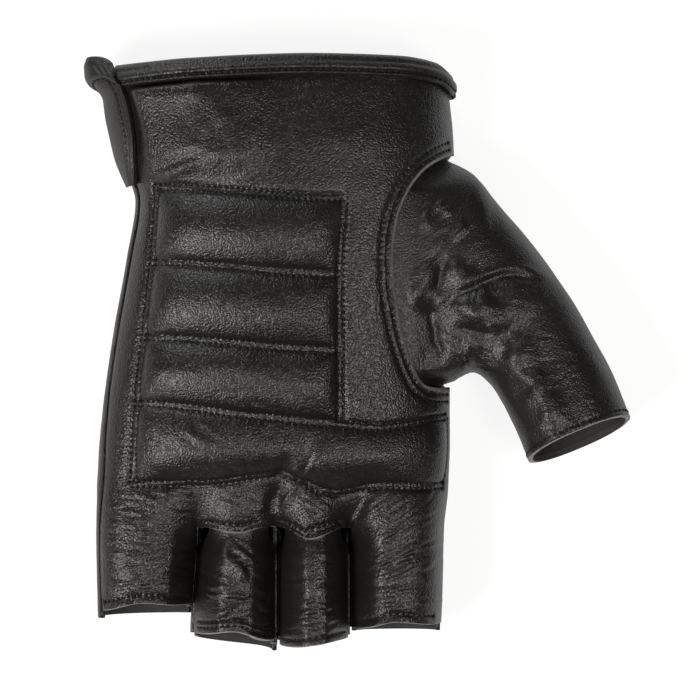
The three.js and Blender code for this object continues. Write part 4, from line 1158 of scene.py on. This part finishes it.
def lying_column(name, s, turn, y):
    """The back panel where it lies on the floor, from a turn of the hand to s over a finger."""
    left, right = sides(y)
    low, high, _, _ = finger(name, y)
    if name != "little":
        low = low + FINGER_INSET
    rim = (right - left) / 2 * (1 - np.cos(2 * np.pi * RIM_TURN))
    high = high - (rim if name == "index" else FINGER_INSET)
    cosine = (1 - math.cos(math.pi * s)) / 2
    x = mix(x_at(turn, y), mix(low, high, cosine), ease(-26, CROTCH + 2, y))
    z = back_height(x, y)
    step = 0.05
    inside = np.clip(x, left + 2 * step, right - 2 * step)
    slope = (back_height(inside + step, y) - back_height(inside - step, y)) / (2 * step)
    normal = unit(np.stack([-slope, np.zeros_like(slope), np.ones_like(slope)], -1))
    lumps = 0.14 * (1 + waves(x, y, 8, 21)) * ease(0.3, 2.0, z)
    place = np.stack([x, y, z], -1)
    return place + normal * lumps[:, None], place + normal * LEATHER


def back_piece(materials):
    columns = []
    for name, count in (("index", 36), ("middle", 26), ("ring", 26), ("little", 36)):
        columns += [(name, s, None) for s in np.linspace(1, 0, count + 1)]
    columns += [("little", 0.0, rise) for rise in np.linspace(0, 1, 13)[1:]]
    root_rank = next(n for n, c in enumerate(columns) if c[0] == "little" and abs(c[1] - 0.5) < 1e-9)
    notch = FLAP_BOTTOM - GAP
    cuff_rows, hand_rows, finger_rows = 34, 106, 36
    down_cuff = np.linspace(0, 1, cuff_rows + 1)
    down_hand = np.linspace(0, 1, hand_rows + 1)[1:]
    down_finger = np.linspace(0, 1, finger_rows + 1)[1:]
    skins = []
    for rank, (name, s, rise) in enumerate(columns):
        x_top = around(mix(0.5, 1, min(1, rank / len(columns))), CUFF_Y)[0]
        edge = through(CUFF_BACK, x_top) - EDGE_BELOW_TOP
        hem = mix(*FINGERS[name]["back"], s)
        y = np.concatenate([mix(edge, notch, down_cuff), mix(notch, CROTCH, down_hand),
                            mix(CROTCH, hem, down_finger)])
        if rise is not None:
            skins.append(side_wall(y, rise))
            continue
        turn = turn_at(FLAP_ROOT, y, False)
        if rank <= root_rank:
            turn = mix(radial_turn(y), turn, rank / root_rank)
        else:
            turn = mix(turn, 1, 2 * (0.5 - s))
        skins.append(lying_column(name, s, turn, y))
    outer, inner = np.array(skins).transpose(1, 2, 0, 3)
    same = np.array([a[0] == b[0] for a, b in zip(columns, columns[1:])])
    keep = np.ones((len(outer) - 1, len(columns) - 1), bool)
    keep[:cuff_rows + 1, root_rank:] = False
    keep[cuff_rows + hand_rows:, ~same] = False
    return shell("back_leather", outer, inner, materials, keep=keep, hem=True)


# The cuff binding and the closure flap
def cuff_top(turn):
    x = around(turn, CUFF_Y)[..., 0]
    behind = (turn < 0) | (turn > 0.5)
    return np.where(behind, through(CUFF_BACK, x), line_y("cuff", x))


def surface_out(turn, y, out):
    """Places that stand out from the hand's surface."""
    turn, y, out = np.broadcast_arrays(turn, y, out)
    return around(turn, y) + hand_normal(turn, y) * out[..., None]


BINDING_ROW = 1.35                # from the binding's lower edge up to its stitches
BINDING_LEG = EDGE_BELOW_TOP - BINDING_DEPTH    # from the leather's edge down to the binding's
BINDING_ROOM = 1.8 * GAP          # between the leather and the binding
FLAP_CLEAR = 0.6                  # from the flap's edge to the binding's end
FLAP_ROW = 3.2                    # from the flap's edge to its stitches


def binding_profile():
    """How far out from the leather, and how far above its edge, round the folded strip."""
    centre = -LEATHER / 2
    inner_radius = LEATHER / 2 + BINDING_ROOM
    outer_radius = inner_radius + BINDING_LEATHER
    leg = BINDING_LEG
    front = [(centre + inner_radius + 0.1, leg), (centre + outer_radius - 0.35, leg - 0.1),
             (centre + outer_radius, leg + 0.25)]
    for share in np.linspace(0, 1, 25)[1:]:
        up = mix(leg + 0.25, GAP, share)
        furrow = 0.55 * bell(up - leg - BINDING_ROW, 0.45) - 0.25 * bell(up - leg - 0.55, 0.4)
        full = 0.85 * math.sin(math.pi * share ** 1.25)
        front.append((centre + outer_radius + full - furrow, up))
    top = [(centre + outer_radius * math.cos(a), GAP + outer_radius * math.sin(a))
           for a in np.linspace(0, math.pi, 15)[1:]]
    back = [(centre - outer_radius, up) for up in np.linspace(GAP, leg + 1, 7)[1:]]
    inside = [(centre - inner_radius, leg + 1)]
    inside += [(centre + inner_radius * math.cos(a), GAP + inner_radius * math.sin(a))
               for a in np.linspace(math.pi, 0, 9)]
    return np.array(front + top + back + inside)


def binding_ends():
    """The turns at which the binding's row of thread starts and ends."""
    y = 81.0
    first = turn_at(through(FLAP_EDGE, y) + FLAP_CLEAR + 0.6, y, True)
    last = turn_at(FLAP_ROOT + 1, CUFF_Y, False)
    return float(first), float(last)


def binding_piece(materials):
    profile = binding_profile()
    last = binding_ends()[1]
    beside = FLAP_TOP - EDGE_BELOW_TOP + profile[:, 1]
    first = turn_at(through(FLAP_EDGE, beside) + FLAP_CLEAR, beside, True)
    turns = mix(first[None, :], last, np.linspace(0, 1, 420)[:, None])
    edge = cuff_top(turns) - EDGE_BELOW_TOP
    wave = 0.12 * waves(turns * HAND_ROUND, np.zeros_like(turns), 9, 31)
    out = profile[None, :, 0] + wave
    out = out - np.maximum(out - 2.0, 0) * ease(0.49, 0.55, turns)
    places = surface_out(turns, edge + profile[None, :, 1], out)
    count, width = places.shape[:2]
    faces = quad_grid(count, width, True).reshape(-1, 4).tolist()
    faces.append(list(range(width)))
    faces.append([(count - 1) * width + k for k in range(width)][::-1])
    return make_mesh("binding_leather", places.reshape(-1, 3), faces, [SKIN] * len(faces), materials)


def flap_top(s):
    """The flap's upper end, which peaks beside its edge."""
    peak = 0.86
    fall = 2.2 * np.clip((s - peak) / (1 - peak), 0, 1) ** 2
    return cuff_top(np.zeros(1))[0] + 0.2 + 3.0 * ease(0.5, peak, s) - fall


def flap_turns(y):
    """The turns of the flap's root and of its edge."""
    return turn_at(FLAP_ROOT - GAP, y, False) - 1, turn_at(through(FLAP_EDGE, y), y, True)


def flap_stretch(edge, y):
    """Millimetres over the hand that one turn is worth beside the flap's edge."""
    return np.linalg.norm(around(edge, y) - around(edge - 0.004, y), axis=-1) / 0.004


def flap_places(t, s, thickness):
    """Places over the flap: t from its top to its lower end, s from its root to its edge."""
    top = flap_top(s)
    y = mix(top, FLAP_BOTTOM - 0.9 * ease(0.5, 0.64, s), t)
    root, edge = flap_turns(y)
    turn = mix(root, edge, s)
    flare = FLAP_FLARE * ease(77, 85, y) * ease(root, -0.02, turn) * (1 - ease(0.02, edge, turn))
    over = (LEATHER + GAP) * ease(root, -0.02, turn) + flare
    hem_row = top - BINDING_DEPTH
    hem = 1.2 * ease(hem_row - 0.5, hem_row + 0.5, y) * ease(root, 0, turn)
    hem *= 1 - 0.5 * ease(top - 1.5, top, y)
    from_edge = (edge - turn) * flap_stretch(edge, y)
    bead = 0.5 * bell(from_edge - 0.7, 0.5) + 0.5 * bell(from_edge - 2.0, 0.5)
    furrow = 0.45 * bell(from_edge - FLAP_ROW, 0.55) + 0.4 * bell(y - hem_row, 0.5)
    relief = hem + bead - furrow + 0.12 * waves(from_edge, y, 6, 40)
    return surface_out(turn, y, over + np.where(thickness > 0, -thickness, relief))


def flap_piece(materials):
    across = np.concatenate([np.linspace(0, 0.8, 56), np.linspace(0.8, 1, 46)[1:]])
    t, s = np.meshgrid(np.linspace(0, 1, 110), across, indexing="ij")
    return shell("flap_leather", flap_places(t, s, 0.0), flap_places(t, s, LEATHER), materials)


# Stitches
def stitch_mesh(stitches):
    """Short bowed capsules of thread from start to end, bowed along lift."""
    corners, rings = 6, 5
    angle = np.arange(corners) * 2 * np.pi / corners
    places, faces = [], []
    for start, end, lift in stitches:
        side = unit(np.cross(lift, unit(end - start)))
        base = len(places)
        for k in range(rings):
            t = k / (rings - 1)
            bow = math.sin(math.pi * t)
            radius = THREAD * (0.55 + 0.45 * bow)
            centre = mix(start, end, t) + lift * (0.30 * bow - 0.16)
            for a in angle:
                places.append(centre + radius * (math.cos(a) * side + math.sin(a) * lift))
        for k in range(rings - 1):
            for m in range(corners):
                n = (m + 1) % corners
                faces.append([base + k * corners + m, base + (k + 1) * corners + m,
                              base + (k + 1) * corners + n, base + k * corners + n])
        faces.append([base + m for m in range(corners)])
        faces.append([base + (rings - 1) * corners + m for m in range(corners)][::-1])
    return np.array(places), faces


def stitched_row(places, normals, random):
    """Stitches along a row given at even fine steps: start, end and the direction outward."""
    length = np.concatenate([[0], np.cumsum(np.linalg.norm(np.diff(places, axis=0), axis=1))])
    count = max(1, int(length[-1] // PITCH))
    stitches = []
    pick = lambda at, table: np.array([np.interp(at, length, table[:, k]) for k in range(3)])
    for n in range(count):
        begin = (n + 0.14 + random.uniform(-0.03, 0.03)) * length[-1] / count
        finish = (n + 0.86 + random.uniform(-0.03, 0.03)) * length[-1] / count
        lift = unit(pick((begin + finish) / 2, normals))
        start, end = pick(begin, places), pick(finish, places)
        lean = 0.07 * np.cross(lift, unit(end - start))
        stitches.append((start - lean, end + lean, lift))
    return stitches


def thread_piece(name, rows, material):
    random = np.random.RandomState(len(name) * 31)
    stitches = [stitch for places, normals in rows for stitch in stitched_row(places, normals, random)]
    places, faces = stitch_mesh(stitches)
    return make_mesh(name, places, faces, [0] * len(faces), [material])


def palm_thread_rows():
    rows = []
    for line, apart, _ in SEAMS:
        for sign in ((1, -1) if apart else (0,)):
            p, y = resample(shifted(line, sign * apart), 0.35).T
            rows.append((palm_place(p, y), palm_normal(p, y)))
    return rows


def hem_thread_rows(name):
    left, right, _, _ = finger(name, HEM_Y)
    share = np.linspace(0.04, 0.96, 90)
    x = mix(left, right, share)
    rows = []
    for above in HEM_ROWS[name]:
        y = hem_y(name, share) + above
        rows.append((front_place(x, y, finger_relief(name, x, y) - front_depth(y)), front_normal(x, y)))
    return rows


def thumb_thread_rows():
    u = np.linspace(0, 1, 400)
    v = np.linspace(1 - 6 / THUMB_HEM_SPAN, 1, 7)
    base = thumb_grid(u, v)
    normal = thumb_normals(base)
    k = 3
    relief = thumb_relief(base[k], u, np.full(u.shape, v[k]))
    return [(base[k] + normal[k] * relief[:, None], normal[k])]


def binding_thread_rows():
    turns = np.linspace(*binding_ends(), 900)
    y = cuff_top(turns) - EDGE_BELOW_TOP + BINDING_LEG + BINDING_ROW
    out = np.full(turns.shape, BINDING_ROOM + BINDING_LEATHER)
    return [(surface_out(turns, y, out), hand_normal(turns, y))]


def flap_row(t, s, top):
    """A row of thread over the flap."""
    y = mix(top, FLAP_BOTTOM, t)
    return flap_places(t, s, 0.0), hand_normal(mix(*flap_turns(y), s), y)


def flap_thread_rows():
    edge_t = np.linspace(0.16, 0.97, 120)
    edge_top = flap_top(0.93)
    y = mix(edge_top, FLAP_BOTTOM, edge_t)
    root, edge = flap_turns(y)
    edge_s = (edge - FLAP_ROW / flap_stretch(edge, y) - root) / (edge - root)
    hem_s = np.linspace(0.25, 0.9, 80)
    hem_top = flap_top(hem_s)
    hem_t = BINDING_DEPTH / (hem_top - FLAP_BOTTOM)
    return [flap_row(edge_t, edge_s, edge_top), flap_row(hem_t, hem_s, hem_top)]


# Materials
def new_material(name):
    """A new material, its node tree and its shader."""
    material = bpy.data.materials.new(name)
    material.use_nodes = True
    return material, material.node_tree, material.node_tree.nodes["Principled BSDF"]


def feed(socket, value):
    """Gives a node's input a number, a colour or the output of another node."""
    if isinstance(value, bpy.types.NodeSocket):
        socket.id_data.links.new(value, socket)
    else:
        socket.default_value = value


def fill(node, **inputs):
    for key, value in inputs.items():
        feed(node.inputs[key.replace("_", " ")], value)
    return node


def add(tree, kind, **inputs):
    return fill(tree.nodes.new(kind), **inputs)


def maths(tree, operation, *values, kind="ShaderNodeMath"):
    node = tree.nodes.new(kind)
    node.operation = operation
    for socket, value in zip(node.inputs, values):
        feed(socket, value)
    return node.outputs[0]


def shaded(tree, tone, colour, places, shades):
    """A colour that grows from a darker to a lighter shade with tone."""
    ramp = add(tree, "ShaderNodeValToRGB", Fac=tone)
    for element, place, shade in zip(ramp.color_ramp.elements, places, shades):
        element.position = place
        element.color = (*[shade * c for c in colour], 1)
    return ramp.outputs["Color"]


def grain_height(tree, place):
    """Pebbles a little over half a millimetre wide, larger cells, and fine creases that run askew."""
    grain = 0.00055
    bend = add(tree, "ShaderNodeTexNoise", Vector=place, Scale=420.0, Detail=2.0)
    bent_place = maths(tree, "MULTIPLY_ADD", bend.outputs["Color"], (0.0011, 0.0011, 0.0011), place,
                       kind="ShaderNodeVectorMath")
    pebbles = add(tree, "ShaderNodeTexVoronoi", Vector=bent_place, Scale=1 / grain)
    pebbles.feature = "SMOOTH_F1"
    fill(pebbles, Smoothness=0.6)
    cells = add(tree, "ShaderNodeTexVoronoi", Vector=bent_place, Scale=1 / (1.5 * grain))
    cells.feature = "DISTANCE_TO_EDGE"
    furrows = maths(tree, "MINIMUM", maths(tree, "MULTIPLY", cells.outputs["Distance"], 4.0), 0.4)
    turned = add(tree, "ShaderNodeMapping", Vector=place, Rotation=(0, 0, 0.6), Scale=(1.0, 2.6, 1.0))
    streaks = add(tree, "ShaderNodeTexNoise", Vector=turned.outputs[0], Scale=850.0, Detail=4.0,
                  Roughness=0.62)
    finer = maths(tree, "ADD", maths(tree, "MULTIPLY", furrows, 0.16),
                  maths(tree, "MULTIPLY", streaks.outputs["Fac"], 0.45))
    return maths(tree, "ADD", maths(tree, "MULTIPLY", pebbles.outputs["Distance"], -1.05), finer)


def leather_material(name, roughness, bump):
    """Black leather: pebbled grain, blotches from the tanning and small flecks."""
    material, tree, shader = new_material(name)
    place = tree.nodes.new("ShaderNodeTexCoord").outputs["Object"]
    bumped = add(tree, "ShaderNodeBump", Height=grain_height(tree, place), Strength=bump, Distance=0.00028)
    blotch = add(tree, "ShaderNodeTexNoise", Vector=place, Scale=38.0, Detail=5.0, Roughness=0.55)
    fleck = add(tree, "ShaderNodeTexNoise", Vector=place, Scale=900.0, Detail=2.0)
    tone = maths(tree, "ADD", maths(tree, "MULTIPLY", blotch.outputs["Fac"], 0.7),
                 maths(tree, "MULTIPLY", fleck.outputs["Fac"], 0.3))
    aslant = add(tree, "ShaderNodeLayerWeight", Blend=0.5)
    matt = maths(tree, "MULTIPLY", maths(tree, "POWER", aslant.outputs["Facing"], 2.5), 0.25)
    uneven = maths(tree, "ADD", maths(tree, "MULTIPLY", blotch.outputs["Fac"], 0.14), roughness - 0.07)
    fill(shader, Normal=bumped.outputs[0], Roughness=maths(tree, "ADD", uneven, matt),
         Base_Color=shaded(tree, tone, LEATHER_COLOUR, (0.34, 0.68), (0.72, 1.32)))
    return material


def plain_material(name, colour, roughness, scale=700.0, gloss=0.5):
    """A matt material with fine fibres: cut leather, suede or thread."""
    material, tree, shader = new_material(name)
    place = tree.nodes.new("ShaderNodeTexCoord").outputs["Object"]
    fibres = add(tree, "ShaderNodeTexNoise", Vector=place, Scale=scale, Detail=4.0).outputs["Fac"]
    bumped = add(tree, "ShaderNodeBump", Height=fibres, Strength=0.4, Distance=0.0002)
    fill(shader, Base_Color=shaded(tree, fibres, colour, (0.3, 0.7), (0.7, 1.25)), Normal=bumped.outputs[0],
         Roughness=roughness, Specular_IOR_Level=gloss)
    return material


def ground_material():
    material, _, shader = new_material("ground")
    fill(shader, Base_Color=(0.25, 0.25, 0.25, 1), Roughness=0.9, Specular_IOR_Level=0.0,
         Emission_Color=(1, 1, 1, 1), Emission_Strength=0.86)
    return material


LEATHER_COLOUR = (0.0092, 0.0085, 0.0080)
cut_leather = plain_material("leather_cut_edge", (0.24, 0.225, 0.215), 0.9)
inside_leather = plain_material("leather_inside", (0.022, 0.021, 0.02), 0.75)
thread = plain_material("thread", (0.006, 0.006, 0.006), 0.8, 2500.0, 0.25)


def leather_skins(name, roughness, bump=0.56):
    """The materials of a leather: its grain side, its cut edge and its inside."""
    return [leather_material(f"leather_{name}", roughness, bump), cut_leather, inside_leather]


# Stage, light and camera
def stage():
    size = 3.0
    mesh = bpy.data.meshes.new("ground")
    corners = [(-size, -size, 0), (size, -size, 0), (size, size, 0), (-size, size, 0)]
    mesh.from_pydata(corners, [], [(0, 1, 2, 3)])
    mesh.materials.append(ground_material())
    ground = bpy.data.objects.new("ground", mesh)
    ground.location.z = -0.0003
    bpy.context.scene.collection.objects.link(ground)


def softbox(name, place, target, width, height, watts, colour=(1, 1, 1)):
    light = bpy.data.lights.new(name, "AREA")
    light.shape = "RECTANGLE"
    light.size, light.size_y = width, height
    light.energy = watts
    light.color = colour
    box = bpy.data.objects.new(name, light)
    box.location = place
    aim = Vector(target) - Vector(place)
    box.rotation_euler = aim.to_track_quat("-Z", "Y").to_euler()
    bpy.context.scene.collection.objects.link(box)


def lights():
    """Two warm soft boxes from the finger side, a weaker one from the cuff and a faint even sky."""
    glove, warm = (0, 0, 0.02), (1.0, 0.96, 0.92)
    softbox("key", (-0.61, -0.34, 0.72), glove, 0.40, 0.40, 7.2, warm)
    softbox("second", (0.33, -0.19, 0.93), glove, 0.34, 0.34, 3.8, warm)
    softbox("rim", (-0.40, 0.78, 0.42), glove, 0.35, 0.30, 2.5)
    world = bpy.data.worlds.new("studio")
    bpy.context.scene.world = world
    world.use_nodes = True
    fill(world.node_tree.nodes["Background"], Color=(1, 1, 1, 1), Strength=0.035)


def camera():
    data = bpy.data.cameras.new("camera")
    data.lens = 182.1
    data.sensor_width = 36.0
    data.clip_end = 20.0
    eye = bpy.data.objects.new("camera", data)
    eye.location = (-0.00198, 0.00061, 1.1)
    eye.rotation_euler = (0, 0, 0)
    bpy.context.scene.collection.objects.link(eye)
    bpy.context.scene.camera = eye


bpy.context.scene.view_settings.view_transform = "Standard"
stage()
lights()
camera()

palm_skins = leather_skins("palm", 0.30)
back_skins = leather_skins("back", 0.37)
finger_skins = leather_skins("fingers", 0.35, 0.46)
thumb_skins = leather_skins("thumb", 0.36, 0.46)
binding_skins = leather_skins("binding", 0.34)
flap_skins = leather_skins("flap", 0.46, 0.45)


def place(piece, slot, *nodes):
    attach(piece, "root")
    if nodes:
        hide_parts(*nodes)
    return piece


palm = place(palm_piece(palm_skins), "palm_leather", "palm_panel")
place(back_piece(back_skins), "back_leather", "back_panel")
place(finger_piece("ring", finger_skins), "finger_leather", "ring_front")
place(finger_piece("middle", finger_skins), "finger_leather", "middle_front")
for first, second in zip(NAMES, NAMES[1:]):
    place(strip_piece(first, second, finger_skins), "finger_leather", f"fourchette_{first}_{second}")
place(thumb_piece(thumb_skins), "thumb_leather", "thumb_stall")
place(binding_piece(binding_skins), "binding_leather", "cuff_binding")
place(flap_piece(flap_skins), "flap_leather", "wrist_flap")
place(thread_piece("palm_thread", palm_thread_rows(), thread), "palm_leather")
finger_rows = hem_thread_rows("ring") + hem_thread_rows("middle")
place(thread_piece("finger_thread", finger_rows, thread), "finger_leather")
place(thread_piece("thumb_thread", thumb_thread_rows(), thread), "thumb_leather")
place(thread_piece("binding_thread", binding_thread_rows(), thread), "binding_leather")
place(thread_piece("flap_thread", flap_thread_rows(), thread), "flap_leather")
